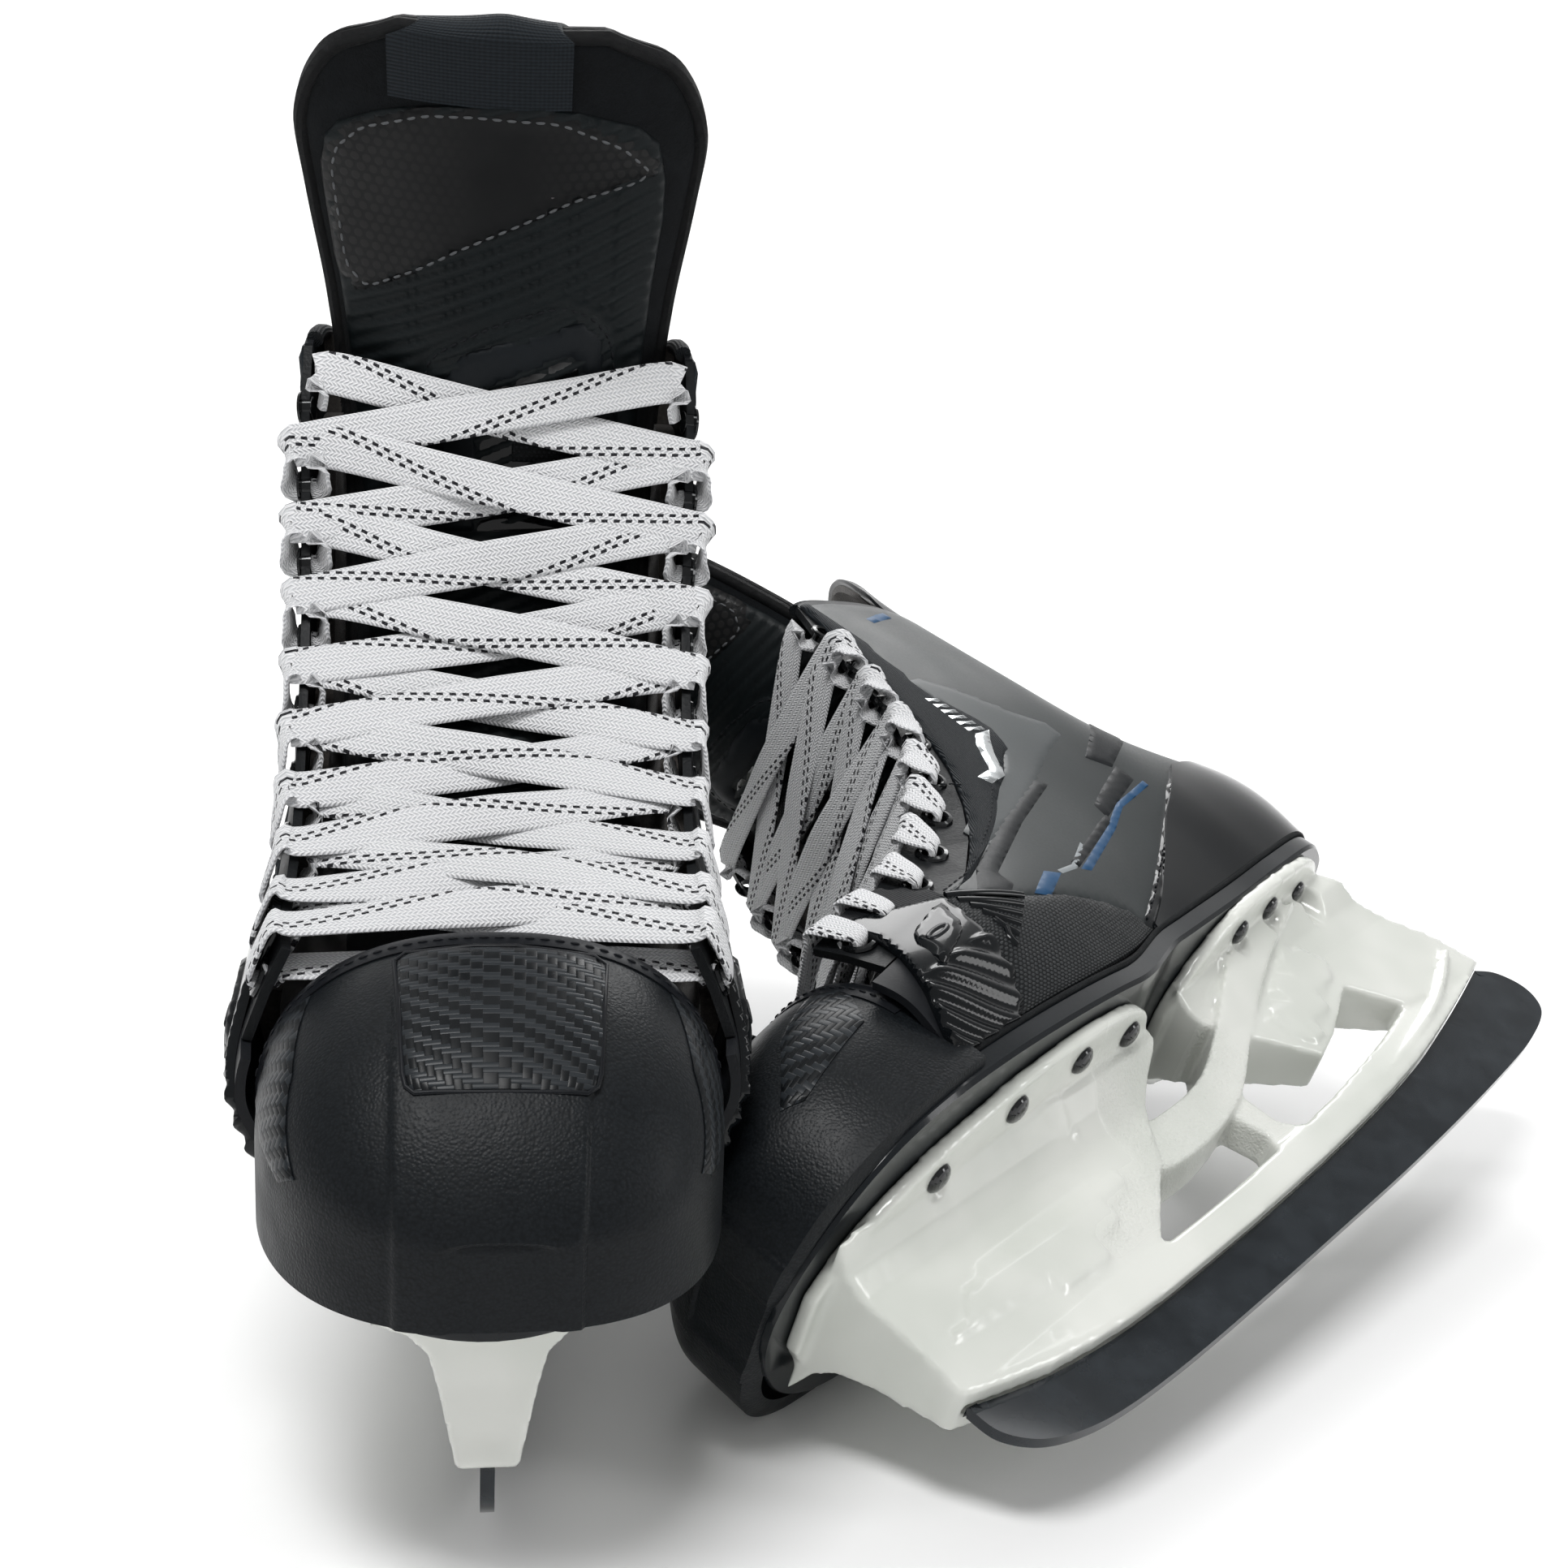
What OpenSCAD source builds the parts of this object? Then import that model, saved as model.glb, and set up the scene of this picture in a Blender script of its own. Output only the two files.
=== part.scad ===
// Pair of ice hockey skates: the right one stands on its runner, the left one lies on its inner side.
// Each skate is drawn once in its own frame: x runs forward from under the heel, y points to the outer
// side of the foot and z points up from the lowest point of the runner. The pair shares one floor, z = 0.

/* [Boot] */
// Thickness of the composite quarter shell
shell_t = 2.2; // [1.6:0.1:2.6]
// Thickness of the felt liner
liner_t = 4; // [3:0.5:5]
// Thickness of the overlay films glued on the quarter
film_t = 0.7; // [0.5:0.1:0.9]
// Thickness of the glossy wing and heel overlays
overlay_t = 1.4; // [1:0.1:1.8]
// Thickness of the outsole plate
sole_t = 7; // [6:0.5:7]
// Wall of the toe cap
cap_t = 2.6; // [2:0.1:3]
// Half width of the toe cap
cap_w = 49.5; // [47:0.5:50]

/* [Lacing] */
// Eyelets on each facing
eyelet_count = 10; // [8:1:10]
// Inside radius of an eyelet
eyelet_r = 2.7; // [2.6:0.1:3]
// Width of the flat lace
lace_w = 9; // [7:0.5:10]
// Thickness of the flat lace
lace_t = 1.2; // [0.8:0.1:1.4]

/* [Tongue and guard] */
// Height above the floor at which the tongue starts to flex
flex_z = 250; // [248:1:254]
// Thickness of the tongue padding
tongue_t = 11; // [8:1:12]

/* [Holder and runner] */
// Thickness of the steel runner
steel_t = 3; // [2.8:0.1:3.2]
// Thickness of the runner's tang inside the holder
tang_t = 2.4; // [2:0.1:2.5]
// Thickness of the holder's flanges
flange_t = 4; // [3:0.5:4.5]
// Radius of a rivet shank
rivet_r = 2.2; // [1.8:0.1:2.4]
// Radius of a rivet head
rivet_head_r = 4; // [3.5:0.1:4.2]

/* [Arrangement] */
// Turn of the left skate about the vertical
left_yaw = -138.5; // [-140:0.5:-138]
// Roll of the left skate onto its inner side
left_roll = 69.5; // [68:0.5:71]
// Tip of the left skate towards its toe
left_pitch = 5.5; // [4:0.5:7]

/* [Hidden] */
$fn = 48;
skin_gap = 1.0;
mid_x = 130;
left_at = [218.7, -50.5, 30.5];
pair_shift = [-137.4, -33.5, 0];

// Guide lines of one side, from the middle of the heel to the toe: sole edge, bulge, ankle, top edge.
SOLE = [[-14, 0, 96], [-7, 17, 95.5], [10, 27, 94], [36, 30, 91.5], [64, 31, 89], [90, 33, 86.5],
    [112, 35, 84.3], [134, 38.5, 79.5], [158, 42.5, 77], [184, 45, 76], [210, 46, 75], [226, 46.5, 74.4]];
BULGE = [[-17, 0, 125], [-9, 20, 126], [12, 31, 126], [40, 36, 124], [66, 38, 123], [90, 40, 119],
    [110, 42.5, 111], [131, 46, 105], [156, 50, 100], [183, 53, 96], [211, 54.5, 93], [228, 53.5, 90]];
ANKLE = [[7, 0, 176], [12, 15, 176], [24, 27, 177], [46, 40, 177], [68, 43.5, 177], [92, 45, 174],
    [110, 46, 155], [128, 47.5, 137], [153, 50, 124], [182, 52.5, 114], [212, 52.5, 108], [229, 51, 105]];
TOP = [[15, 0, 222], [18, 14, 226], [28, 28, 233], [48, 39, 241], [72, 46, 244.5], [98, 50, 243],
    [110, 50, 211], [124, 49, 178], [148, 48, 152], [178, 46.5, 134], [212, 45.5, 125.5], [229, 43, 122]];

// Sole outline as forward distance and half width, for the plate under the whole boot.
OUTLINE = [[-15, 3], [-13, 9], [-7, 18], [10, 28.5], [36, 31.5], [64, 32.5], [90, 34.5], [112, 36.5],
    [134, 40], [158, 44], [184, 46.5], [212, 47.5], [236, 46], [254, 41], [268, 32], [278, 20],
    [283, 10], [284.5, 3]];

// Middle line of the tongue's front: forward distance, height, half width, sweep back, thickness ratio.
TONGUE = [[219, 111, 31, 6, 0.45], [197, 120.5, 33, 7, 0.55], [172, 131, 35, 8, 0.7],
    [147, 146, 36, 9, 0.85], [124, 169, 37, 10, 1], [109, 198, 38, 12, 1], [103, 226, 40, 14, 1],
    [108, 250, 42.5, 15, 1], [118, 274, 46.5, 14, 0.9], [128, 292, 48, 12, 0.8],
    [136, 305, 42, 9, 0.65], [140, 311, 33, 6, 0.6], [142, 315, 24, 4, 0.55]];

// Runner and rail outlines as forward distance and height.
STEEL_BOTTOM = [[-27, 32.6], [-33, 28], [-35.5, 20], [-33, 13], [-26, 8], [-10, 4.6], [10, 2.8], [50, 1],
    [90, 0.1], [130, 0.02], [170, 0.1], [205, 0.6], [230, 2], [245, 4.5], [256, 9], [262.5, 16], [263.5, 24]];
RAIL_LOW = [[-27, 33], [-10, 29.5], [15, 25], [45, 20.5], [85, 17.3], [130, 15.5], [175, 15],
    [210, 15.6], [240, 19], [264, 25]];
RAIL_TOP = [[-23, 41], [0, 39.5], [21, 36.5], [45, 32.3], [85, 27.6], [130, 25], [168, 24], [193, 24.5]];

FRONT_RIVETS = [[238, 25], [208, 31], [179, 32.5], [153, 29]];
REAR_RIVETS = [[70, 23], [48, 22.5], [23, 18]];
BOLTS = [[20, 0], [232, 0]];
rear_slope = 5.26;
front_slope = 2;

last_u = len(SOLE) - 1;
facing_u = [5, 10.5];
facing_depth = 16;
eyelet_depth = 8;
cap_rear = 222;
cap_front = 286;
cap_mid_z = 84;
cap_h = 42.5;
// Half extent of the tendon guard along the collar and its gap above it
guard_u = 2.8;
guard_gap = 0.8;

// ---- Curves and surfaces ----
function lerp(a, b, t) = a + (b - a) * t;
function clamp(v, a, b) = max(a, min(b, v));
function flat(lists) = [for (row = lists) each row];
function unit(v) = v / norm(v);
function steps(a, b, n) = [for (i = [0:n]) lerp(a, b, i / n)];
function at(list, i) = list[clamp(i, 0, len(list) - 1)];
function catmull(a, b, c, d, t) =
    0.5 * (2 * b + (c - a) * t + (2 * a - 5 * b + 4 * c - d) * t * t + (3 * b - a - 3 * c + d) * t * t * t);
function curve(list, u) =
    let (i = clamp(floor(u), 0, len(list) - 2))
    catmull(at(list, i - 1), list[i], list[i + 1], at(list, i + 2), u - i);
function smooth(list, per) =
    [for (i = [0:(len(list) - 1) * per]) curve(list, i / per)];

// A guide continues across the middle of the heel as its own mirror image.
function guide(list, u) =
    let (i = clamp(floor(u), 0, last_u - 1), before = i == 0 ? [list[1].x, -list[1].y, list[1].z] : list[i - 1])
    catmull(before, list[i], list[i + 1], at(list, i + 2), u - i);

// Boot surface: u runs round the boot, positive on the outer side, and v from 0 at the sole to 3 on top.
function skin_point(u, v) =
    let (a = abs(u), p = curve([guide(SOLE, a), guide(BULGE, a), guide(ANKLE, a), guide(TOP, a)], v))
    [p.x, (u < 0 ? -1 : 1) * p.y, p.z];
function skin_normal(u, v) =
    let (e = 0.04, lo = max(v - e, 0), hi = min(v + e, 3),
        du = skin_point(min(u + e, last_u), v) - skin_point(max(u - e, -last_u), v),
        dv = skin_point(u, hi) - skin_point(u, lo))
    unit(cross(dv, du));
function skin(u, v, out) = skin_point(u, v) + skin_normal(u, v) * out;

// Closed shell between two matching grids of points, with a rim all round.
module grid_shell(outer, inner) {
    n = len(outer) - 1;
    m = len(outer[0]) - 1;
    w = m + 1;
    far = (n + 1) * w;
    quads = concat(
        [for (i = [0:n - 1]) for (j = [0:m - 1]) [i * w + j, (i + 1) * w + j, (i + 1) * w + j + 1, i * w + j + 1]],
        [for (i = [0:n - 1]) for (j = [0:m - 1])
            [far + i * w + j + 1, far + (i + 1) * w + j + 1, far + (i + 1) * w + j, far + i * w + j]],
        [for (i = [0:n - 1]) [(i + 1) * w, i * w, far + i * w, far + (i + 1) * w]],
        [for (i = [0:n - 1]) [i * w + m, (i + 1) * w + m, far + (i + 1) * w + m, far + i * w + m]],
        [for (j = [0:m - 1]) [j, j + 1, far + j + 1, far + j]],
        [for (j = [0:m - 1]) [n * w + j + 1, n * w + j, far + n * w + j, far + n * w + j + 1]]);
    faces = flat([for (q = quads) [[q[0], q[1], q[2]], [q[0], q[2], q[3]]]]);
    polyhedron(concat(flat(outer), flat(inner)), faces);
}

// Patch of the boot between two offsets. low and high give v for each u.
module boot_patch(u_list, low, high, rows, inside, outside) {
    function side(out) =
        [for (u = u_list) [for (j = [0:rows]) skin(u, lerp(low(abs(u)), high(abs(u)), j / rows), out)]];
    grid_shell(side(outside), side(inside));
}

// Solid with rings of equal length, closed at both ends.
module ring_solid(rings) {
    n = len(rings) - 1;
    k = len(rings[0]);
    sides = flat([for (i = [0:n - 1]) for (j = [0:k - 1])
        let (a = i * k + j, b = i * k + (j + 1) % k, c = a + k, d = b + k) [[a, b, d], [a, d, c]]]);
    caps = flat([for (j = [1:k - 2]) [[0, j + 1, j], [n * k, n * k + j, n * k + j + 1]]]);
    faces = concat(sides, caps);
    polyhedron(flat(rings), faces);
}

// ---- Sole ----
function sole_z(x) =
    let (r = 89.3 - 0.092 * (x + 14), f = 70 - 0.035 * (x - 145), t = clamp((x - 110) / 40, 0, 1))
    lerp(r, f, t * t * (3 - 2 * t));
module sole_plate(inset, low, high) {
    line = smooth(OUTLINE, 2);
    rings = [for (p = line)
        let (w = max(p[1] - inset, 1.5), x = p[0] + inset * (140 - p[0]) / 155, z = sole_z(p[0]))
        [[x, -w, z + high], [x, w, z + high], [x, w - 0.8, z + low], [x, -w + 0.8, z + low]]];
    ring_solid(rings);
}
module rivet_places() {
    for (s = [-1, 1]) {
        for (p = FRONT_RIVETS) translate([p.x, s * p.y, sole_z(p.x)]) rotate([0, front_slope, 0]) children();
        for (p = REAR_RIVETS) translate([p.x, s * p.y, sole_z(p.x)]) rotate([0, rear_slope, 0]) children();
    }
}
module outsole() {
    color([0.03, 0.03, 0.035])
    difference() {
        sole_plate(0, 0, sole_t);
        rivet_places() translate([0, 0, -2]) cylinder(r = rivet_r + 0.1, h = sole_t + 4);
    }
}
module footbed() {
    color([0.2, 0.2, 0.22]) sole_plate(9.5, sole_t + 2.2, sole_t + 5.2);
}

// ---- Boot upper ----
// Value of v that lies a given distance below the top edge
function below(u, depth) = 3 - depth * 0.2 / norm(skin_point(u, 3) - skin_point(u, 2.8));
function shell_high(a) = a < facing_u[0] ? 3 : below(a, facing_depth + 0.5);
side_cols = concat(steps(0.5, 4.5, 8), [4.96], steps(5, last_u, 12));
function mirrored(cols) = [for (i = [len(cols) - 1:-1:0]) -cols[i]];
shell_cols = concat(mirrored(side_cols), [0], side_cols);
module quarter_shell() {
    color([0.1, 0.1, 0.11])
    boot_patch(shell_cols, function (a) 0.02, function (a) shell_high(a), 12, -shell_t, 0);
}
module facing_strip(s) {
    difference() {
        boot_patch(s > 0 ? steps(facing_u[0], facing_u[1], 11) : steps(-facing_u[1], -facing_u[0], 11),
            function (a) below(a, facing_depth), function (a) 3, 2, -shell_t, 0);
        for (k = [0:eyelet_count - 1]) eyelet_place(k, s) cylinder(r = eyelet_r + 0.55, h = 14, center = true);
    }
}
module facings() {
    color([0.05, 0.05, 0.055]) {
        facing_strip(1);
        facing_strip(-1);
    }
}
module liner() {
    inner = -shell_t - 0.8;
    color([0.32, 0.3, 0.28])
    boot_patch([for (i = [0:38]) -9.5 + i * 0.5], function (a) 0.12,
        function (a) a < 4.6 ? 2.97 : below(a, facing_depth + 1.5), 8, inner - liner_t, inner);
}
function cup_high(a) = a < 2.6 ? 1.15 : lerp(1.15, 0.16, (a - 2.6) / 3.4);
function film_low(a) = a < 6.2 ? cup_high(a) + 0.05 : 1.25;
function ankle_low(a) = a < 5 ? lerp(2.75, 1.95, (a - 3) / 2) : lerp(1.95, 1.7, (a - 5) / 3.5);
function ankle_high(a) = a < 5 ? 2.95 : below(a, facing_depth + 0.5);
module heel_cup() {
    color([0.03, 0.035, 0.04])
    boot_patch([for (i = [0:24]) -6 + i * 0.5], function (a) 0.06, function (a) cup_high(a), 5,
        skin_gap, skin_gap + overlay_t);
}
module quarter_film(s) {
    cols = s > 0 ? steps(0.5, 8.5, 16) : steps(-8.5, -0.5, 16);
    color([0.25, 0.27, 0.28])
    boot_patch(cols, function (a) film_low(a), function (a) a < 3 ? 2.9 : ankle_low(a) - 0.05, 8,
        skin_gap, skin_gap + film_t);
}
module ankle_panel(s) {
    cols = s > 0 ? steps(3, 8.5, 11) : steps(-8.5, -3, 11);
    color([0.07, 0.07, 0.08])
    boot_patch(cols, function (a) ankle_low(a), function (a) ankle_high(a), 4,
        skin_gap, skin_gap + film_t);
}
module vamp_mesh(s) {
    cols = s > 0 ? steps(6.5, 8.5, 4) : steps(-8.5, -6.5, 4);
    color([0.09, 0.09, 0.1])
    boot_patch(cols, function (a) 0.12, function (a) 1.2, 4, skin_gap, skin_gap + film_t);
}
module wing(s) {
    cols = s > 0 ? steps(8.55, last_u, 5) : steps(-last_u, -8.55, 5);
    color([0.02, 0.02, 0.022])
    boot_patch(cols, function (a) 0.1, function (a) below(a, facing_depth + 0.5), 6, skin_gap, skin_gap + overlay_t);
}

// ---- Toe cap ----
function cap_section(t, arc, grow) =
    let (s = sin(90 * t), n = arc < 90 ? 2.3 : 2.9, x = lerp(cap_rear, cap_front + grow, s),
        w = (cap_w + grow) * pow(1 - pow(s, n), 1 / n), h = (cap_h + grow) * pow(1 - s * s, 0.7),
        c = cos(arc))
    [x, (c < 0 ? -1 : 1) * w * pow(abs(c), 0.833), cap_mid_z + h * pow(abs(sin(arc)), 0.833)];
function cap_row(t, grow) =
    let (arcs = steps(0, 180, 16), arch = [for (a = arcs) cap_section(t, a, grow)], foot = sole_t + 0.3,
        a = arch[0], b = arch[16], z = sole_z(a.x) + foot, tuck = lerp(0.79, 0.92, clamp(t * 4, 0, 1)))
    concat([[a.x, a.y * tuck, z]], arch, [[b.x, b.y * tuck, z]]);
module toe_cap() {
    ts = [0, 0.1, 0.2, 0.3, 0.4, 0.5, 0.6, 0.7, 0.78, 0.86, 0.92, 0.96];
    outer = [for (t = ts) cap_row(t, 0)];
    inner = [for (t = ts) cap_row(t, -cap_t)];
    n = len(ts);
    w = len(outer[0]);
    far = n * w;
    walls = flat([for (i = [0:n - 2]) for (j = [0:w - 2])
        let (a = i * w + j, b = a + w, c = b + 1, d = a + 1)
        [[a, b, c], [a, c, d], [far + a, far + c, far + b], [far + a, far + d, far + c]]]);
    rear = flat([for (j = [0:w - 2]) [[j, j + 1, far + j + 1], [j, far + j + 1, far + j]]]);
    feet = flat([for (i = [0:n - 2]) let (a = i * w, b = a + w, c = a + w - 1, d = b + w - 1)
        [[b, a, far + a], [b, far + a, far + b], [c, d, far + d], [c, far + d, far + c]]]);
    e = (n - 1) * w;
    nose = flat([for (j = [1:w - 2]) [[e, e + j + 1, e + j], [far + e, far + e + j, far + e + j + 1]]]);
    lip = [[e, far + e, far + e + w - 1], [e, far + e + w - 1, e + w - 1]];
    color([0.05, 0.05, 0.055])
    polyhedron(concat(flat(outer), flat(inner)),
        concat(walls, rear, feet, nose, lip));
}
module toe_inlay() {
    ts = steps(0.11, 0.51, 6);
    arcs = steps(64, 116, 6);
    function sheet(g) = [for (t = ts) [for (a = arcs) cap_section(t, a, g)]];
    color([0.12, 0.12, 0.13]) grid_shell(sheet(1.3), sheet(0.5));
}

// ---- Tongue ----
function tongue_point(s, q, depth) =
    let (k = curve(TONGUE, s), e = 0.05,
        d = curve(TONGUE, min(s + e, 12)) - curve(TONGUE, max(s - e, 0)),
        front = unit([d[1], -d[0]]), back = k[3] * q * q + depth * k[4] * (1 - 0.35 * q * q * q * q))
    [k[0] - front[0] * back, k[2] * q, k[1] - front[1] * back];
// Parameter along the tongue at which its middle line reaches flex_z
flex_s = 7 + (flex_z - 250) / 24;
module tongue_slab(s_list, q_list, d0, d1) {
    function sheet(d) = [for (s = s_list) [for (q = q_list) tongue_point(s, q, d)]];
    grid_shell(sheet(d0), sheet(d1));
}
module tongue_lower() {
    color([0.06, 0.06, 0.07]) tongue_slab(steps(0, flex_s - 0.02, 14), steps(-1, 1, 8), 0, tongue_t);
}
module tongue_upper() {
    color([0.05, 0.05, 0.06]) tongue_slab(steps(flex_s, 12, 12), steps(-1, 1, 8), 0, tongue_t);
}
module tongue_panel() {
    color([0.04, 0.04, 0.045]) tongue_slab(steps(flex_s + 0.3, 10.6, 8), steps(-0.84, 0.84, 8), -1.3, -0.5);
}
module tongue_insert() {
    color([0.01, 0.01, 0.012]) tongue_slab(steps(6.3, flex_s - 0.1, 4), steps(-0.5, 0.5, 6), -1.4, -0.7);
}
module tongue_tab() {
    color([0.08, 0.08, 0.09]) tongue_slab(steps(10.9, 12, 3), steps(-0.66, 0.66, 6), -1.3, -0.5);
}

// ---- Tendon guard: a curved plate that stands on the back of the collar ----
function guard_rise(u) = 62 * (1 - 0.5 * pow(abs(u) / guard_u, 2.2));
function guard_point(u, h, out) =
    let (p = skin_point(u, 3), n = skin_normal(u, 2.95), side = unit([n.x, n.y, 0]))
    p + side * (out + 1.5 * h * h) + [0, 0, guard_gap + guard_rise(u) * h];
module tendon_guard() {
    function sheet(out) = [for (u = steps(-guard_u, guard_u, 14)) [for (h = steps(0, 1, 6)) guard_point(u, h, out)]];
    color([0.06, 0.06, 0.065]) grid_shell(sheet(0), sheet(-3));
}

// ---- Eyelets, lace and lace locks ----
function eyelet_u(k) = lerp(5.32, 10.2, k / (eyelet_count - 1));
function eyelet_v(k) = below(eyelet_u(k), eyelet_depth);
function along(k, s) = unit(skin_point(s * (eyelet_u(k) + 0.1), 3) - skin_point(s * (eyelet_u(k) - 0.1), 3));
module eyelet_place(k, s) {
    p = skin_point(s * eyelet_u(k), eyelet_v(k));
    n = skin_normal(s * eyelet_u(k), eyelet_v(k));
    translate(p) rotate([0, acos(n.z), atan2(n.y, n.x)]) children();
}
module eyelet_ring() {
    rotate_extrude()
    polygon([[eyelet_r, -shell_t - 0.3], [eyelet_r + 0.45, -shell_t - 0.3], [eyelet_r + 0.45, 0.08],
        [eyelet_r + 1.9, 0.08], [eyelet_r + 1.6, 0.75], [eyelet_r + 0.6, 1], [eyelet_r, 0.6]]);
}
module eyelets() {
    color([0.03, 0.03, 0.03])
    for (s = [-1, 1]) for (k = [0:eyelet_count - 1]) eyelet_place(k, s) eyelet_ring();
}

// One run of the lace: out through an eyelet, over its facing, across and in under the other facing.
function lace_mid(k, s, out, up) =
    let (u = s * eyelet_u(k), top = skin_point(u, 3), n = skin_normal(u, 2.9),
        rise = unit(skin_point(u, 3) - skin_point(u, 2.9)))
    top + n * out + rise * up;
function lace_run(k, s, to, lift) =
    let (p = skin_point(s * eyelet_u(k), eyelet_v(k)), n = skin_normal(s * eyelet_u(k), eyelet_v(k)),
        q = skin_point(-s * eyelet_u(to), eyelet_v(to)), m = skin_normal(-s * eyelet_u(to), eyelet_v(to)),
        over = lace_mid(k, s, -2.6, 3 + lift * 0.3), under = lace_mid(to, -s, -6.5, 1.9 + lift * 0.4),
        up = unit(cross(over - under, skin_point(s * eyelet_u(k) + s * 0.1, 3) - skin_point(s * eyelet_u(k), 3))),
        bump = (up.z < 0 ? -1 : 1) * lift * up + [k < 5 ? 2.4 : 0, 0, 0])
    [p - n * 1, p + n * 2.3, lace_mid(k, s, 2.9, -3.5), lace_mid(k, s, 2.2, 2.2), over, lerp(over, under, 0.3) + bump * 0.7,
     lerp(over, under, 0.5) + bump, lerp(over, under, 0.7) + bump * 0.7, under, lace_mid(to, -s, -5.8, -2.8), q - m * 4.6];
function lace_dirs(k, s, to) = let (a = along(k, s), b = along(to, -s))
    [a, a, a, a, a, lerp(a, b, 0.3), lerp(a, b, 0.5), lerp(a, b, 0.7), b, b, b];
lace_narrow = [0.46, 0.55, 0.9, 1, 1, 1, 1, 1, 1, 0.8, 0.5];
lace_thick = [1.5, 1.2, 1, 1, 1, 1, 1, 1, 1, 1, 1.4];
module lace_half(s, lift) {
    runs = [for (k = [eyelet_count - 1:-1:1]) let (side = (eyelet_count - 1 - k) % 2 == 0 ? s : -s)
        lace_run(k, side, k - 1, lift)];
    dirs = [for (k = [eyelet_count - 1:-1:1]) let (side = (eyelet_count - 1 - k) % 2 == 0 ? s : -s)
        lace_dirs(k, side, k - 1)];
    pts = flat(runs);
    across = flat(dirs);
    n = len(pts);
    ring_solid([for (i = [0:n - 1])
        let (d = unit(pts[min(i + 1, n - 1)] - pts[max(i - 1, 0)]), c = across[i], w = unit(c - d * (c * d)),
            t = cross(d, w), hw = w * lace_w / 2 * lace_narrow[i % 11], ht = t * lace_t / 2 * lace_thick[i % 11])
        [pts[i] + hw + ht, pts[i] + hw - ht, pts[i] - hw - ht, pts[i] - hw + ht]]);
}
module lace_bar() {
    k = eyelet_count - 1;
    a = skin_point(eyelet_u(k), eyelet_v(k));
    n = skin_normal(eyelet_u(k), eyelet_v(k));
    right = [a - n * 3.4, a - n * 5.5 + [0, 0, 3], a - n * 9 + [0, 0, 5.5]];
    pts = concat(right, [for (i = [2:-1:0]) [right[i].x, -right[i].y, right[i].z]]);
    w = along(k, 1);
    c = unit([w.x, 0, w.z]);
    ring_solid([for (i = [0:5])
        let (d = unit(pts[min(i + 1, 5)] - pts[max(i - 1, 0)]), hw = unit(c - d * (c * d)) * lace_w / 2
            * [0.48, 0.8, 1, 1, 0.8, 0.48][i], t = unit(cross(d, c)) * lace_t / 2)
        [pts[i] + hw + t, pts[i] + hw - t, pts[i] - hw - t, pts[i] - hw + t]]);
}
module lace() {
    color([0.93, 0.93, 0.94]) {
        lace_half(1, 1.1);
        lace_half(-1, -1.1);
        lace_bar();
    }
}
module lace_locks() {
    color([0.4, 0.42, 0.44])
    for (s = [-1, 1]) {
        mid = lerp(eyelet_u(1), eyelet_u(2), 0.545);
        cols = s > 0 ? steps(mid - 0.028, mid + 0.028, 2) : steps(-mid - 0.028, -mid + 0.028, 2);
        boot_patch(cols, function (a) below(a, 9), function (a) below(a, 3), 2, 0.2, 1.8);
    }
}
module ankle_badges() {
    color([0.7, 0.72, 0.74])
    for (s = [-1, 1]) for (i = [0:5]) {
        u = s * (5.3 + i * 0.14);
        v = 2.2 - i * 0.06;
        out = skin_gap + film_t;
        rise = 0.11 + 0.014 * i;
        grid_shell(
            [for (a = [0, 0.09]) [for (b = [-rise, rise]) skin(s > 0 ? u + a : u - 0.09 + a, v + b, out + 0.75)]],
            [for (a = [0, 0.09]) [for (b = [-rise, rise]) skin(s > 0 ? u + a : u - 0.09 + a, v + b, out + 0.3)]]);
    }
}

// ---- Holder ----
module side_plate(points, half) {
    translate([0, half, 0]) rotate([90, 0, 0]) linear_extrude(2 * half) polygon(points);
}
module along_x(points, x0, x1) {
    translate([x0, 0, 0]) rotate([90, 0, 90]) linear_extrude(x1 - x0) polygon(points);
}
function both(points) = concat(points, [for (i = [len(points) - 1:-1:0]) [-points[i][0], points[i][1]]]);
module flange(points, x, slope) {
    half = smooth(points, 3);
    translate([x, 0, sole_z(x)]) rotate([0, slope, 0]) translate([-x, 0, -flange_t - 0.05])
    linear_extrude(flange_t)
    polygon(concat(half, [for (i = [len(half) - 1:-1:0]) [half[i][0], -half[i][1]]]));
}
module rail() {
    low = smooth(RAIL_LOW, 2);
    top = smooth(RAIL_TOP, 2);
    intersection() {
        side_plate(concat(low, [[266.5, 27], [266.5, 32], [215, 30]],
            [for (i = [len(top) - 1:-1:0]) top[i]]), 12);
        along_x(both([[5, 12], [6.2, 17], [6.6, 24], [5.2, 34], [5.2, 46]]), -30, 268);
    }
}
module front_tower() {
    intersection() {
        side_plate([[196, 20], [240, 18.8], [265.5, 25.5], [266.6, 34], [268, 46], [271, 58], [273, 63.5],
            [138, 68], [141, 62], [150, 55], [163, 40], [186, 24]], 40);
        along_x(both([[4.6, 16], [6.6, 26], [9.5, 42], [12, 54], [16, 59], [24, 63], [24, 70]]), 130, 275);
    }
}
module rear_tower() {
    intersection() {
        side_plate([[6, 84], [-2, 72], [-12, 58], [-20, 48], [-24.5, 38], [-25.5, 33.6], [-10, 31], [20, 36],
            [24, 38], [38, 51], [60, 42], [73, 38.5], [88, 52], [103, 65], [106, 75], [70, 79]], 40);
        along_x(both([[5, 28], [6.4, 38], [8.5, 50], [10.5, 62], [13, 70], [19, 77], [19, 86]]), -30, 110);
    }
}
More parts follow.
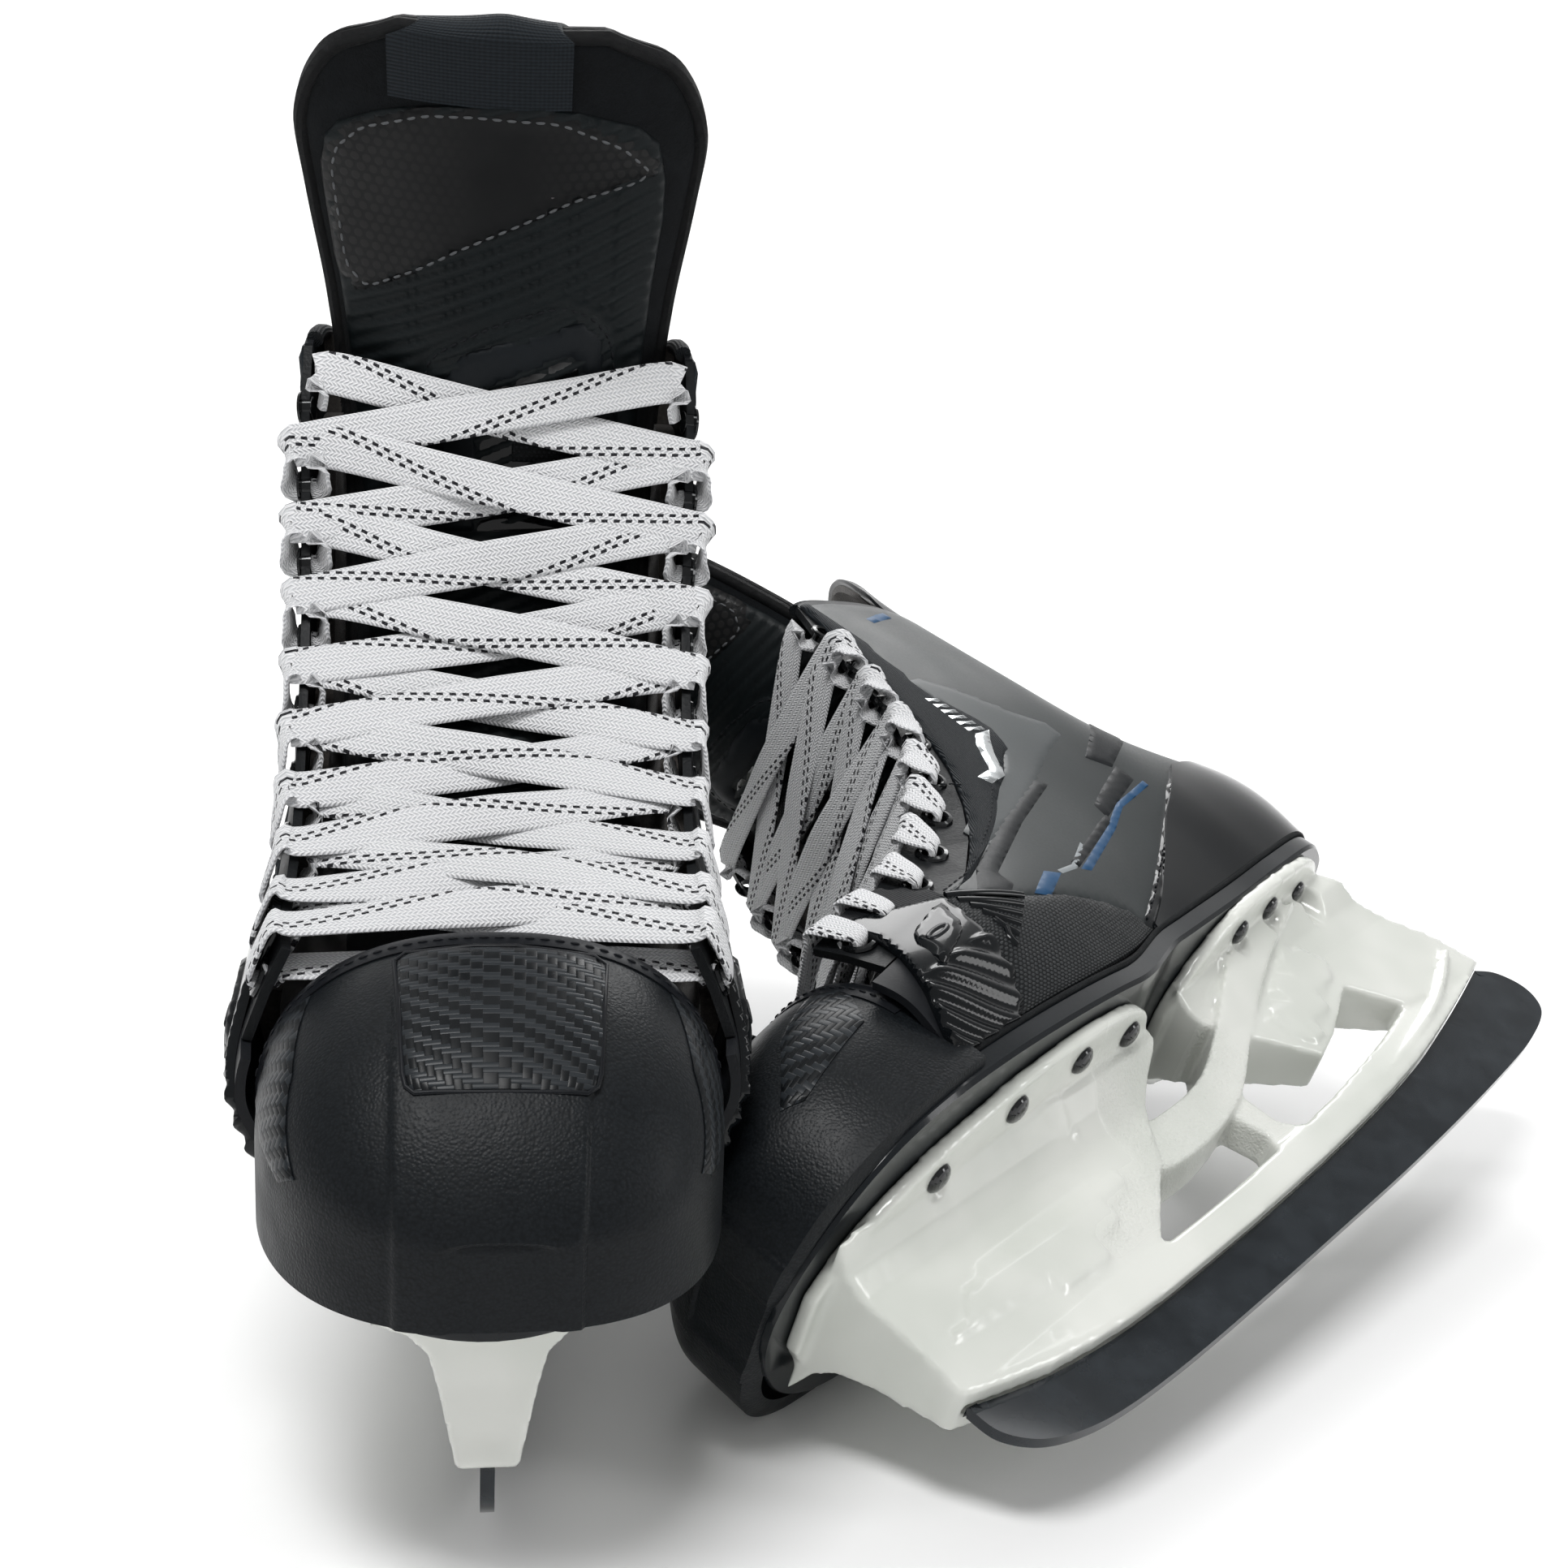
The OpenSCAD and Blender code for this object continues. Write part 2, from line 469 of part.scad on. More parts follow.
module arch() {
    outer = smooth([[32, 78], [60, 69], [88, 56], [112, 44], [135, 38.5], [158, 38], [185, 45], [222, 55]], 3);
    inner = smooth([[222, 60], [190, 55], [165, 52.5], [140, 51.5], [120, 54], [101, 62], [78, 74.5], [56, 80]], 3);
    intersection() {
        side_plate(concat(outer, inner), 30);
        along_x(both([[8.2, 30], [8.2, 48], [10.5, 58], [16, 68], [21, 78], [21, 84]]), 20, 225);
    }
}
module strut() {
    side_plate([[104, 24], [124, 24], [120, 30], [124, 45], [112, 47], [112, 32]], 5.5);
}
module slot_cut() {
    low = smooth(RAIL_LOW, 2);
    side_plate(concat([for (p = low) [p[0], p[1] - 6]], [for (i = [len(low) - 1:-1:0]) [low[i][0], low[i][1] + 7.3]]),
        tang_t / 2 + 0.1);
}
module bolt_hole(p) {
    translate([p.x, 0, 20]) cylinder(r = 2.6, h = 70);
    translate([p.x, 0, 42]) cylinder(r = 5.2, h = 60);
}
module holder() {
    color([0.9, 0.9, 0.86])
    difference() {
        union() {
            rail();
            front_tower();
            rear_tower();
            arch();
            strut();
            flange([[277, 8], [270, 17], [255, 27], [238, 33], [208, 39], [179, 40.5], [155, 37.5], [143, 30],
                [139, 16]], 208, front_slope);
            flange([[6, 10], [9, 22], [22, 29.5], [48, 32.5], [72, 32.5], [90, 27], [104, 17], [108, 8]], 48,
                rear_slope);
        }
        slot_cut();
        rivet_places() {
            translate([0, 0, -20]) cylinder(r = rivet_r + 0.1, h = 24);
            translate([0, 0, -flange_t - 22]) cylinder(r = rivet_head_r + 1.2, h = 22);
        }
        for (p = BOLTS) bolt_hole(p);
    }
}
module rivets() {
    color([0.08, 0.08, 0.09])
    rivet_places() {
        translate([0, 0, -flange_t - 0.1])
        rotate_extrude()
        polygon(concat([[0, 0]], [for (a = [0:15:75]) [rivet_head_r * cos(a), -2 * sin(a)]], [[0, -2]]));
        translate([0, 0, -flange_t - 0.1]) cylinder(r = rivet_r, h = flange_t + sole_t + 0.3);
        translate([0, 0, sole_t + 0.15]) cylinder(r = rivet_r + 1, h = 1.2);
    }
}

// ---- Runner ----
module runner() {
    low = smooth(RAIL_LOW, 2);
    steel = smooth(STEEL_BOTTOM, 3);
    color([0.12, 0.13, 0.15])
    difference() {
        union() {
            side_plate(concat(steel, [for (i = [len(low) - 1:-1:0]) [low[i][0], low[i][1] - 0.3]]), steel_t / 2);
            side_plate(concat([for (i = [1:len(low) - 2]) [low[i][0], low[i][1] - 2]],
                [for (i = [len(low) - 2:-1:1]) [low[i][0], low[i][1] + 7]]), tang_t / 2);
        }
        for (p = BOLTS) translate([p.x, 0, 10]) cylinder(r = 0.9, h = 40);
    }
}
module runner_bolts() {
    color([0.6, 0.6, 0.62])
    for (p = BOLTS) {
        z = p.x < 100 ? 32 : 25;
        translate([p.x, 0, z]) cylinder(r = 2.5, h = 42 - z + 0.2);
        translate([p.x, 0, 42.05]) cylinder(r = 4.8, h = 5, $fn = 6);
    }
}

// ---- Placing the two skates ----
module right_skate() {
    translate(pair_shift) rotate([0, 0, -90]) translate([-mid_x, 0, 0]) mirror([0, 1, 0]) children();
}
module left_skate() {
    translate(pair_shift + left_at) rotate([left_roll, left_pitch, left_yaw]) translate([-mid_x, 0, 0]) children();
}
right_skate() outsole();  // right_outsole
right_skate() quarter_shell();  // right_quarter_shell
right_skate() facings();  // right_facings
right_skate() liner();  // right_liner
right_skate() footbed();  // right_footbed
right_skate() heel_cup();  // right_heel_cup
right_skate() quarter_film(1);  // right_quarter_film_outer
right_skate() quarter_film(-1);  // right_quarter_film_inner
right_skate() ankle_panel(1);  // right_ankle_panel_outer
right_skate() ankle_panel(-1);  // right_ankle_panel_inner
right_skate() vamp_mesh(1);  // right_vamp_mesh_outer
right_skate() vamp_mesh(-1);  // right_vamp_mesh_inner
right_skate() wing(1);  // right_wing_outer
right_skate() wing(-1);  // right_wing_inner
right_skate() toe_cap();  // right_toe_cap
right_skate() toe_inlay();  // right_toe_inlay
right_skate() tongue_lower();  // right_tongue_lower
right_skate() tongue_insert();  // right_tongue_insert
right_skate() tongue_upper();  // right_tongue_upper
right_skate() tongue_panel();  // right_tongue_panel
right_skate() tongue_tab();  // right_tongue_tab
right_skate() tendon_guard();  // right_tendon_guard
right_skate() eyelets();  // right_eyelets
right_skate() lace();  // right_lace
right_skate() lace_locks();  // right_lace_locks
right_skate() ankle_badges();  // right_ankle_badges
right_skate() holder();  // right_holder
right_skate() runner();  // right_runner
right_skate() rivets();  // right_rivets
right_skate() runner_bolts();  // right_runner_bolts
left_skate() outsole();  // left_outsole
left_skate() quarter_shell();  // left_quarter_shell
left_skate() facings();  // left_facings
left_skate() liner();  // left_liner
left_skate() footbed();  // left_footbed
left_skate() heel_cup();  // left_heel_cup
left_skate() quarter_film(1);  // left_quarter_film_outer
left_skate() quarter_film(-1);  // left_quarter_film_inner
left_skate() ankle_panel(1);  // left_ankle_panel_outer
left_skate() ankle_panel(-1);  // left_ankle_panel_inner
left_skate() vamp_mesh(1);  // left_vamp_mesh_outer
left_skate() vamp_mesh(-1);  // left_vamp_mesh_inner
left_skate() wing(1);  // left_wing_outer
left_skate() wing(-1);  // left_wing_inner
left_skate() toe_cap();  // left_toe_cap
left_skate() toe_inlay();  // left_toe_inlay
left_skate() tongue_lower();  // left_tongue_lower
left_skate() tongue_insert();  // left_tongue_insert
left_skate() tongue_upper();  // left_tongue_upper
left_skate() tongue_panel();  // left_tongue_panel
left_skate() tongue_tab();  // left_tongue_tab
left_skate() tendon_guard();  // left_tendon_guard
left_skate() eyelets();  // left_eyelets
left_skate() lace();  // left_lace
left_skate() lace_locks();  // left_lace_locks
left_skate() ankle_badges();  // left_ankle_badges
left_skate() holder();  // left_holder
left_skate() runner();  // left_runner
left_skate() rivets();  // left_rivets
left_skate() runner_bolts();  // left_runner_bolts
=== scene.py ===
import math
import bmesh
import bpy
import numpy as np
from mathutils import Euler, Matrix, Vector


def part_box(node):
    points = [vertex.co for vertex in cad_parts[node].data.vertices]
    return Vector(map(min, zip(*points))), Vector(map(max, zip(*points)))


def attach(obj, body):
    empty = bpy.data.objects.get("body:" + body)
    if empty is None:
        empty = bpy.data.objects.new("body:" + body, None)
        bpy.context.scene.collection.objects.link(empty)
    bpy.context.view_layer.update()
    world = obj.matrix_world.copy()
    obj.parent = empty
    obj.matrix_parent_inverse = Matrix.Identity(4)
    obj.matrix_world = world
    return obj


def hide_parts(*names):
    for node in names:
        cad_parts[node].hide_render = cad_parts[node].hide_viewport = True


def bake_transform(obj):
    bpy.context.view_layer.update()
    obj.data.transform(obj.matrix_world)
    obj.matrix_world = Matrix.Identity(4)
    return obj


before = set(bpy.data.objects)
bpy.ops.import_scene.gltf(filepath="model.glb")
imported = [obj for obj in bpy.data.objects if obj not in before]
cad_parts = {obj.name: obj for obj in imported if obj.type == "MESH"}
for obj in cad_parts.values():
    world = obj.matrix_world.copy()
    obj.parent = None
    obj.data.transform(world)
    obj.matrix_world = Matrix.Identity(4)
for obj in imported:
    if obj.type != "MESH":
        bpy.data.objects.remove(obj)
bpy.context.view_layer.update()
print("frame loaded")

# Guide lines of one side of the boot in millimetres, heel to toe: sole edge, bulge, ankle, top edge.
soleLine = [[-14, 0, 96], [-7, 17, 95.5], [10, 27, 94], [36, 30, 91.5], [64, 31, 89], [90, 33, 86.5],
            [112, 35, 84.3], [134, 38.5, 79.5], [158, 42.5, 77], [184, 45, 76], [210, 46, 75],
            [226, 46.5, 74.4]]
bulgeLine = [[-17, 0, 125], [-9, 20, 126], [12, 31, 126], [40, 36, 124], [66, 38, 123], [90, 40, 119],
             [110, 42.5, 111], [131, 46, 105], [156, 50, 100], [183, 53, 96], [211, 54.5, 93],
             [228, 53.5, 90]]
ankleLine = [[7, 0, 176], [12, 15, 176], [24, 27, 177], [46, 40, 177], [68, 43.5, 177], [92, 45, 174],
             [110, 46, 155], [128, 47.5, 137], [153, 50, 124], [182, 52.5, 114], [212, 52.5, 108],
             [229, 51, 105]]
topLine = [[15, 0, 222], [18, 14, 226], [28, 28, 233], [48, 39, 241], [72, 46, 244.5], [98, 50, 243],
           [110, 50, 211], [124, 49, 178], [148, 48, 152], [178, 46.5, 134], [212, 45.5, 125.5],
           [229, 43, 122]]
# Front of the tongue: forward distance, height, half width, sweep back, thickness ratio.
tongueRows = [[219, 111, 31, 6, 0.45], [197, 120.5, 33, 7, 0.55], [172, 131, 35, 8, 0.7],
              [147, 146, 36, 9, 0.85], [124, 169, 37, 10, 1], [109, 198, 38, 12, 1],
              [103, 226, 40, 14, 1],
              [108, 250, 42.5, 15, 1], [118, 274, 46.5, 14, 0.9], [128, 292, 48, 12, 0.8],
              [136, 305, 42, 9, 0.65], [140, 311, 33, 6, 0.6], [142, 315, 24, 4, 0.55]]
soleOutline = [[-15, 3], [-13, 9], [-7, 18], [10, 28.5], [36, 31.5], [64, 32.5], [90, 34.5], [112, 36.5],
               [134, 40], [158, 44], [184, 46.5], [212, 47.5], [236, 46], [254, 41], [268, 32], [278, 20],
               [283, 10], [284.5, 3]]
steelLine = [[-27, 32.6], [-33, 28], [-35.5, 20], [-33, 13], [-26, 8], [-10, 4.6], [10, 2.8], [50, 1],
             [90, 0.1],
             [130, 0.02], [170, 0.1], [205, 0.6], [230, 2], [245, 4.5], [256, 9], [262.5, 16],
             [263.5, 24]]
railLow = [[-27, 33], [-10, 29.5], [15, 25], [45, 20.5], [85, 17.3], [130, 15.5], [175, 15], [210, 15.6],
           [240, 19], [264, 25]]
lastU = 11
midX = 130


# curves and surfaces, all in millimetres in the skate's own frame
def catmull(a, b, c, d, t):
    return 0.5 * (2 * b + (c - a) * t + (2 * a - 5 * b + 4 * c - d) * t * t
                  + (3 * b - a - 3 * c + d) * t ** 3)


def along(rows, u, before=None):
    rows = np.array(rows, float)
    u = np.asarray(u, float)
    ends = np.vstack([rows[:1] if before is None else [before], rows, rows[-1:]])
    i = np.clip(np.floor(u).astype(int), 0, len(rows) - 2)
    return catmull(ends[i], ends[i + 1], ends[i + 2], ends[i + 3], (u - i)[..., None])


def smoothLine(rows, per):
    return along(rows, np.linspace(0, len(rows) - 1, (len(rows) - 1) * per + 1))


def unit(v):
    return v / np.maximum(np.linalg.norm(v, axis=-1, keepdims=True), 1e-9)


def ease(t):
    t = np.clip(t, 0, 1)
    return t * t * (3 - 2 * t)


def skinPoint(u, v):
    u, v = np.broadcast_arrays(np.asarray(u, float), np.asarray(v, float))
    four = [along(g, np.abs(u), [g[1][0], -g[1][1], g[1][2]]) for g in (soleLine, bulgeLine, ankleLine,
                                                                        topLine)]
    stack = np.stack([four[0]] + four + [four[3]])
    i = np.clip(np.floor(v).astype(int), 0, 2)
    near = [np.take_along_axis(stack, (i + k)[None, ..., None], 0)[0] for k in range(4)]
    p = catmull(*near, (v - i)[..., None])
    p[..., 1] *= np.where(u < 0, -1, 1)
    return p


def skinNormal(u, v):
    u, v = np.broadcast_arrays(np.asarray(u, float), np.asarray(v, float))
    e = 0.04
    du = skinPoint(np.minimum(u + e, lastU), v) - skinPoint(np.maximum(u - e, -lastU), v)
    dv = skinPoint(u, np.minimum(v + e, 3)) - skinPoint(u, np.maximum(v - e, 0))
    return unit(np.cross(dv, du))


def skin(u, v, out):
    return skinPoint(u, v) + skinNormal(u, v) * np.asarray(out, float)[..., None]


def below(u, depth):
    return 3 - depth * 0.2 / np.linalg.norm(skinPoint(u, 3) - skinPoint(u, 2.8), axis=-1)


def tonguePoint(s, q, depth):
    s, q, depth = np.broadcast_arrays(*[np.asarray(k, float) for k in (s, q, depth)])
    k = along(tongueRows, s)
    e = 0.05
    d = along(tongueRows, np.minimum(s + e, 12)) - along(tongueRows, np.maximum(s - e, 0))
    front = unit(np.stack([d[..., 1], -d[..., 0]], -1))
    back = k[..., 3] * q * q + depth * k[..., 4] * (1 - 0.35 * q ** 4)
    return np.stack([k[..., 0] - front[..., 0] * back, k[..., 2] * q, k[..., 1] - front[..., 1] * back],
                    -1)


def soleHeight(x):
    return 89.3 - 0.092 * (x + 14) + (70 - 0.035 * (x - 145) - 89.3 + 0.092 * (x + 14)) * ease((x - 110) / 40)


# The tongue's front laid flat: sideways distance and length along its middle.
tongueS = np.linspace(-0.5, 12.3, 641)
tongueMiddle = along(tongueRows, tongueS)
tongueArc = np.concatenate([[0], np.cumsum(np.linalg.norm(np.diff(tongueMiddle[:, :2], axis=0), axis=1))])
tongueArc -= np.interp(0, tongueS, tongueArc)


def tongueWidth(s):
    return np.interp(s, tongueS, tongueMiddle[:, 2])


def tongueFlat(points):
    s, q = np.array(points, float).T
    return np.stack([q * tongueWidth(s), np.interp(s, tongueS, tongueArc)], 1)


def onTongue(flat, out):
    s = np.interp(flat[:, 1], tongueArc, tongueS)
    return tonguePoint(s, flat[:, 0] / tongueWidth(s), -out)


# The boot's side laid flat in two ways: as seen from the side (x, z), and by its own lines (22 u, 32 v).
gridU, gridV = np.meshgrid(np.linspace(0, lastU, 221), np.linspace(0, 3, 61), indexing="ij")
gridXZ = skinPoint(gridU, gridV)[..., [0, 2]].reshape(-1, 2)


def sideToLines(xz):
    near = [np.argmin(((gridXZ - p) ** 2).sum(1)) for p in xz]
    u = gridU.ravel()[near]
    v = gridV.ravel()[near]
    for _ in range(4):
        p = skinPoint(u, v)[:, [0, 2]]
        du = (skinPoint(u + 0.01, v)[:, [0, 2]] - p) / 0.01
        dv = (skinPoint(u, v + 0.01)[:, [0, 2]] - p) / 0.01
        r = xz - p
        det = du[:, 0] * dv[:, 1] - du[:, 1] * dv[:, 0]
        det = np.where(np.abs(det) < 1, 1, det)
        u = np.clip(u + np.clip((r[:, 0] * dv[:, 1] - r[:, 1] * dv[:, 0]) / det, -0.3, 0.3), 0, lastU)
        v = np.clip(v + np.clip((du[:, 0] * r[:, 1] - du[:, 1] * r[:, 0]) / det, -0.3, 0.3), 0, 3)
    return u, v


def fromSide(foot):
    def place(flat, out):
        u, v = sideToLines(flat)
        return skin(u * foot, v, out)
    return place


def fromLines(foot):
    return lambda flat, out: skin(flat[:, 0] / 22 * foot, flat[:, 1] / 32, out)


def lines(points):
    return [(u * 22, v * 32) for u, v in points]


def capPoint(t, arc, grow):
    t, arc, grow = np.broadcast_arrays(*[np.asarray(k, float) for k in (t, arc, grow)])
    s = np.sin(np.radians(90 * t))
    n = np.where(arc < 90, 2.3, 2.9)
    w = (49.5 + grow) * np.maximum(1 - s ** n, 0) ** (1 / n)
    h = (42.5 + grow) * np.maximum(1 - s * s, 0) ** 0.7
    c = np.cos(np.radians(arc))
    return np.stack([222 + (64 + grow) * s, np.sign(c) * w * np.abs(c) ** 0.833,
                     84 + h * np.abs(np.sin(np.radians(arc))) ** 0.833], -1)


# The toe cap's top laid flat: 0.83 mm to a degree round it, 100 mm from its rear edge to the nose.
def onCap(flat, out):
    return capPoint(flat[:, 1] / 100, 90 - flat[:, 0] / 0.83, out)


# mesh tools
def meshFrom(name, points, faces, flat=None, angle=35, materials=None):
    mesh = bpy.data.meshes.new(name)
    mesh.from_pydata(np.asarray(points, float).reshape(-1, 3).tolist(), [],
                     [list(map(int, f)) for f in faces])
    if flat is not None:
        layer = mesh.uv_layers.new(name="surface")
        corner = np.zeros(len(mesh.loops), int)
        mesh.loops.foreach_get("vertex_index", corner)
        layer.data.foreach_set("uv", np.asarray(flat, float).reshape(-1, 2)[corner].ravel())
    if materials is not None:
        mesh.polygons.foreach_set("material_index", np.asarray(materials, int))
    work = bmesh.new()
    work.from_mesh(mesh)
    bmesh.ops.recalc_face_normals(work, faces=work.faces)
    work.to_mesh(mesh)
    work.free()
    mesh.shade_smooth()
    mesh.set_sharp_from_angle(angle=math.radians(angle))
    return mesh


def gridShell(name, outer, inner, flat=None, angle=35):
    n, m = outer.shape[:2]
    if flat is None:
        right = np.concatenate([np.zeros((1, m)), np.cumsum(np.linalg.norm(np.diff(outer, axis=0),
                                                                           axis=2), 0)])
        up = np.concatenate([np.zeros((n, 1)), np.cumsum(np.linalg.norm(np.diff(outer, axis=1), axis=2),
                                                         1)], 1)
        flat = np.stack([np.broadcast_to(right[:, m // 2:m // 2 + 1], (n, m)), up], -1)
    i, j = np.meshgrid(np.arange(n - 1), np.arange(m - 1), indexing="ij")
    a = (i * m + j).ravel()
    top = np.stack([a, a + m, a + m + 1, a + 1], 1)
    far = n * m
    rim = []
    for i in range(n - 1):
        rim.append([(i + 1) * m, i * m, far + i * m, far + (i + 1) * m])
        rim.append([i * m + m - 1, (i + 1) * m + m - 1, far + (i + 1) * m + m - 1, far + i * m + m - 1])
    for j in range(m - 1):
        rim.append([j, j + 1, far + j + 1, far + j])
        rim.append([(n - 1) * m + j + 1, (n - 1) * m + j, far + (n - 1) * m + j,
                    far + (n - 1) * m + j + 1])
    faces = top.tolist() + (top[:, ::-1] + far).tolist() + rim
    return meshFrom(name, np.concatenate([outer.reshape(-1, 3), inner.reshape(-1, 3)]), faces,
                    np.concatenate([flat.reshape(-1, 2)] * 2), angle)


def ringLoft(name, rings, flat=None, closed=False, angle=40, materials=None):
    rings = np.asarray(rings, float)
    n, k = rings.shape[:2]
    faces = []
    kinds = []
    for i in range(n if closed else n - 1):
        b = (i + 1) % n
        for j in range(k):
            faces.append([i * k + j, i * k + (j + 1) % k, b * k + (j + 1) % k, b * k + j])
            kinds.append(0 if materials is None else materials[j])
    if not closed:
        faces += [list(range(k))[::-1], list(range((n - 1) * k, n * k))]
        kinds += [0, 0]
    return meshFrom(name, rings, faces, flat, angle, kinds)


def tube(name, path, radius, sides=10, ups=None, flatten=1.0, closed=False):
    path = np.asarray(path, float)
    step = np.roll(path, -1, 0) - np.roll(path, 1, 0) if closed else np.gradient(path, axis=0)
    d = unit(step)
    up = np.broadcast_to([0, 0, 1.0], path.shape) if ups is None else ups
    side = unit(np.cross(d, up))
    up = np.cross(side, d)
    a = np.linspace(0, 2 * math.pi, sides, endpoint=False)
    radius = np.broadcast_to(radius, len(path))[:, None, None]
    rings = path[:, None] + radius * (np.cos(a)[None, :, None] * side[:, None]
                                      + flatten * np.sin(a)[None, :, None] * up[:, None])
    run = np.concatenate([[0], np.cumsum(np.linalg.norm(np.diff(path, axis=0), axis=1))])
    flat = np.stack(np.broadcast_arrays(run[:, None], a[None] * 2), -1)
    return ringLoft(name, rings, flat, closed, 60)


def soften(corners, rounds=2, keep=0.25):
    p = np.array(corners, float)
    for _ in range(rounds):
        q = np.roll(p, -1, 0)
        p = np.stack([p * (1 - keep) + q * keep, p * keep + q * (1 - keep)], 1).reshape(-1, 2)
        keep = 0.25
    return p


def edgeDistance(points, corners):
    a = np.array(corners, float)
    b = np.roll(a, -1, 0)
    ab = b - a
    t = ((points[:, None] - a) * ab).sum(2) / np.maximum((ab * ab).sum(1), 1e-9)
    near = a + np.clip(t, 0, 1)[..., None] * ab
    return np.linalg.norm(points[:, None] - near, axis=2).min(1)


# Closed plate of any outline laid on a surface. low is its underside, high its top, edge its rounded
# border.
def plate(name, corners, surface, low, high, edge=0.6, step=2.5, shape=None):
    corners = [tuple(p) for p in corners]
    work = bmesh.new()
    face = work.faces.new([work.verts.new((x, y, 0)) for x, y in corners])
    for _ in range(2):
        bmesh.ops.inset_region(work, faces=[face], thickness=edge / 2, use_even_offset=True)
    lo = np.min(corners, axis=0)
    hi = np.max(corners, axis=0)
    for axis in range(2):
        for cut in np.arange(lo[axis] + step / 2, hi[axis], step):
            at = [0, 0, 0]
            way = [0, 0, 0]
            at[axis] = cut
            way[axis] = 1
            bmesh.ops.bisect_plane(work, geom=work.verts[:] + work.edges[:] + work.faces[:],
                                   plane_co=at, plane_no=way, dist=1e-5)
    bmesh.ops.remove_doubles(work, verts=work.verts, dist=1e-4)
    work.verts.ensure_lookup_table()
    flat = np.array([v.co[:2] for v in work.verts])
    faces = [[v.index for v in f.verts] for f in work.faces]
    border = [(e.verts[0].index, e.verts[1].index) for e in work.edges if len(e.link_faces) == 1]
    work.free()
    rise = np.sqrt(1 - (1 - np.clip(edgeDistance(flat, corners) / edge, 0, 1)) ** 2)
    out = low + (high - low) * (0.35 + 0.65 * rise)
    if shape is not None:
        out = out + shape(flat) * rise
    n = len(flat)
    points = np.concatenate([surface(flat, out), surface(flat, np.full(n, low))])
    faces = faces + [[k + n for k in f[::-1]] for f in faces] + [[a, b, b + n, a + n] for a, b in border]
    return meshFrom(name, points, faces, np.concatenate([flat, flat]), 50)


def merged(name, meshes):
    work = bmesh.new()
    for mesh in meshes:
        work.from_mesh(mesh)
    result = bpy.data.meshes.new(name)
    work.to_mesh(result)
    work.free()
    result.shade_smooth()
    result.set_sharp_from_angle(angle=math.radians(45))
    return result


def spaced(path, gap):
    run = np.concatenate([[0], np.cumsum(np.linalg.norm(np.diff(path, axis=0), axis=1))])
    count = max(int(run[-1] / gap), 2)
    return np.stack([np.interp(np.linspace(0, run[-1], count), run,
                               path[:, k]) for k in range(path.shape[1])], 1)


# Rows of stitches along a flat path: each stitch is a small bead drawn into the cloth at both ends.
def stitches(name, flatPath, surface, out, gap=3.6, length=2.5, radius=0.36, closed=False):
    path = np.array(flatPath, float)
    if closed:
        path = np.vstack([path, path[:1]])
    path = spaced(path, 0.6)
    p = surface(path, np.full(len(path), out))
    lift = unit(surface(path, np.full(len(path), out + 1)) - p)
    run = np.concatenate([[0], np.cumsum(np.linalg.norm(np.diff(p, axis=0), axis=1))])
    shape = [(-0.5, 0.25, -0.35), (-0.3, 1, 0), (0, 1.1, 0.15), (0.3, 1, 0), (0.5, 0.25, -0.35)]
    points = []
    faces = []
    for k in range(int(run[-1] / gap)):
        mid = (k + 0.5) * gap
        at = np.array([[np.interp(mid + f * length, run, p[:, c]) for c in range(3)] for f, _,
                       _ in shape])
        up = np.array([np.interp(mid, run, lift[:, c]) for c in range(3)])
        d = unit(at[-1] - at[0])
        side = unit(np.cross(d, up))
        start = len(points)
        for (_, fat, rise), c in zip(shape, at):
            for a in range(6):
                turn = a * math.pi / 3
                points.append(c + radius * (fat * (side * math.cos(turn) + up * 0.8 * math.sin(turn))
                                            + up * rise))
        for r in range(4):
            for a in range(6):
                b = (a + 1) % 6
                faces.append([start + r * 6 + a, start + r * 6 + b, start + r * 6 + 6 + b,
                              start + r * 6 + 6 + a])
        faces += [[start + a for a in range(5, -1, -1)], [start + 24 + a for a in range(6)]]
    return meshFrom(name, points, faces, np.zeros((len(points), 2)), 70)


def smoothed(flatPath, per=6, closed=False):
    p = np.array(flatPath, float)
    if closed:
        p = np.vstack([p[-1:], p, p[:2]])
        return along(p, np.linspace(1, len(p) - 2, (len(p) - 3) * per + 1)[:-1])
    return smoothLine(p, per)


# placing the two skates
leftTurn = (69.5, 5.5, -138.5)
rotations = {"right": Matrix(((0, -1, 0), (-1, 0, 0), (0, 0, 1))),
             "left": Euler([math.radians(a) for a in leftTurn]).to_matrix()}


def placingOf(side):
    outline = np.vstack([smoothLine(steelLine, 3), smoothLine(railLow, 2) - [0, 0.3]])
    local = [Vector((x - midX, y, z)) for x, z in outline for y in (-1.5, 1.5)]
    local += [Vector((x - midX, y, z + 7)) for x, z in smoothLine(railLow, 2)[1:-1] for y in (-1.2, 1.2)]
    turned = [rotations[side] @ p for p in local]
    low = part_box(side + "_runner")[0]
    shift = Vector([low[k] - min(p[k] for p in turned) / 1000 for k in range(3)])
    return (Matrix.Translation(shift) @ rotations[side].to_4x4() @ Matrix.Scale(0.001, 4)
            @ Matrix.Translation((-midX, 0, 0)))


placing = {side: placingOf(side) for side in ("right", "left")}


def worldPoint(side, point):
    return tuple(placing[side] @ Vector(point))


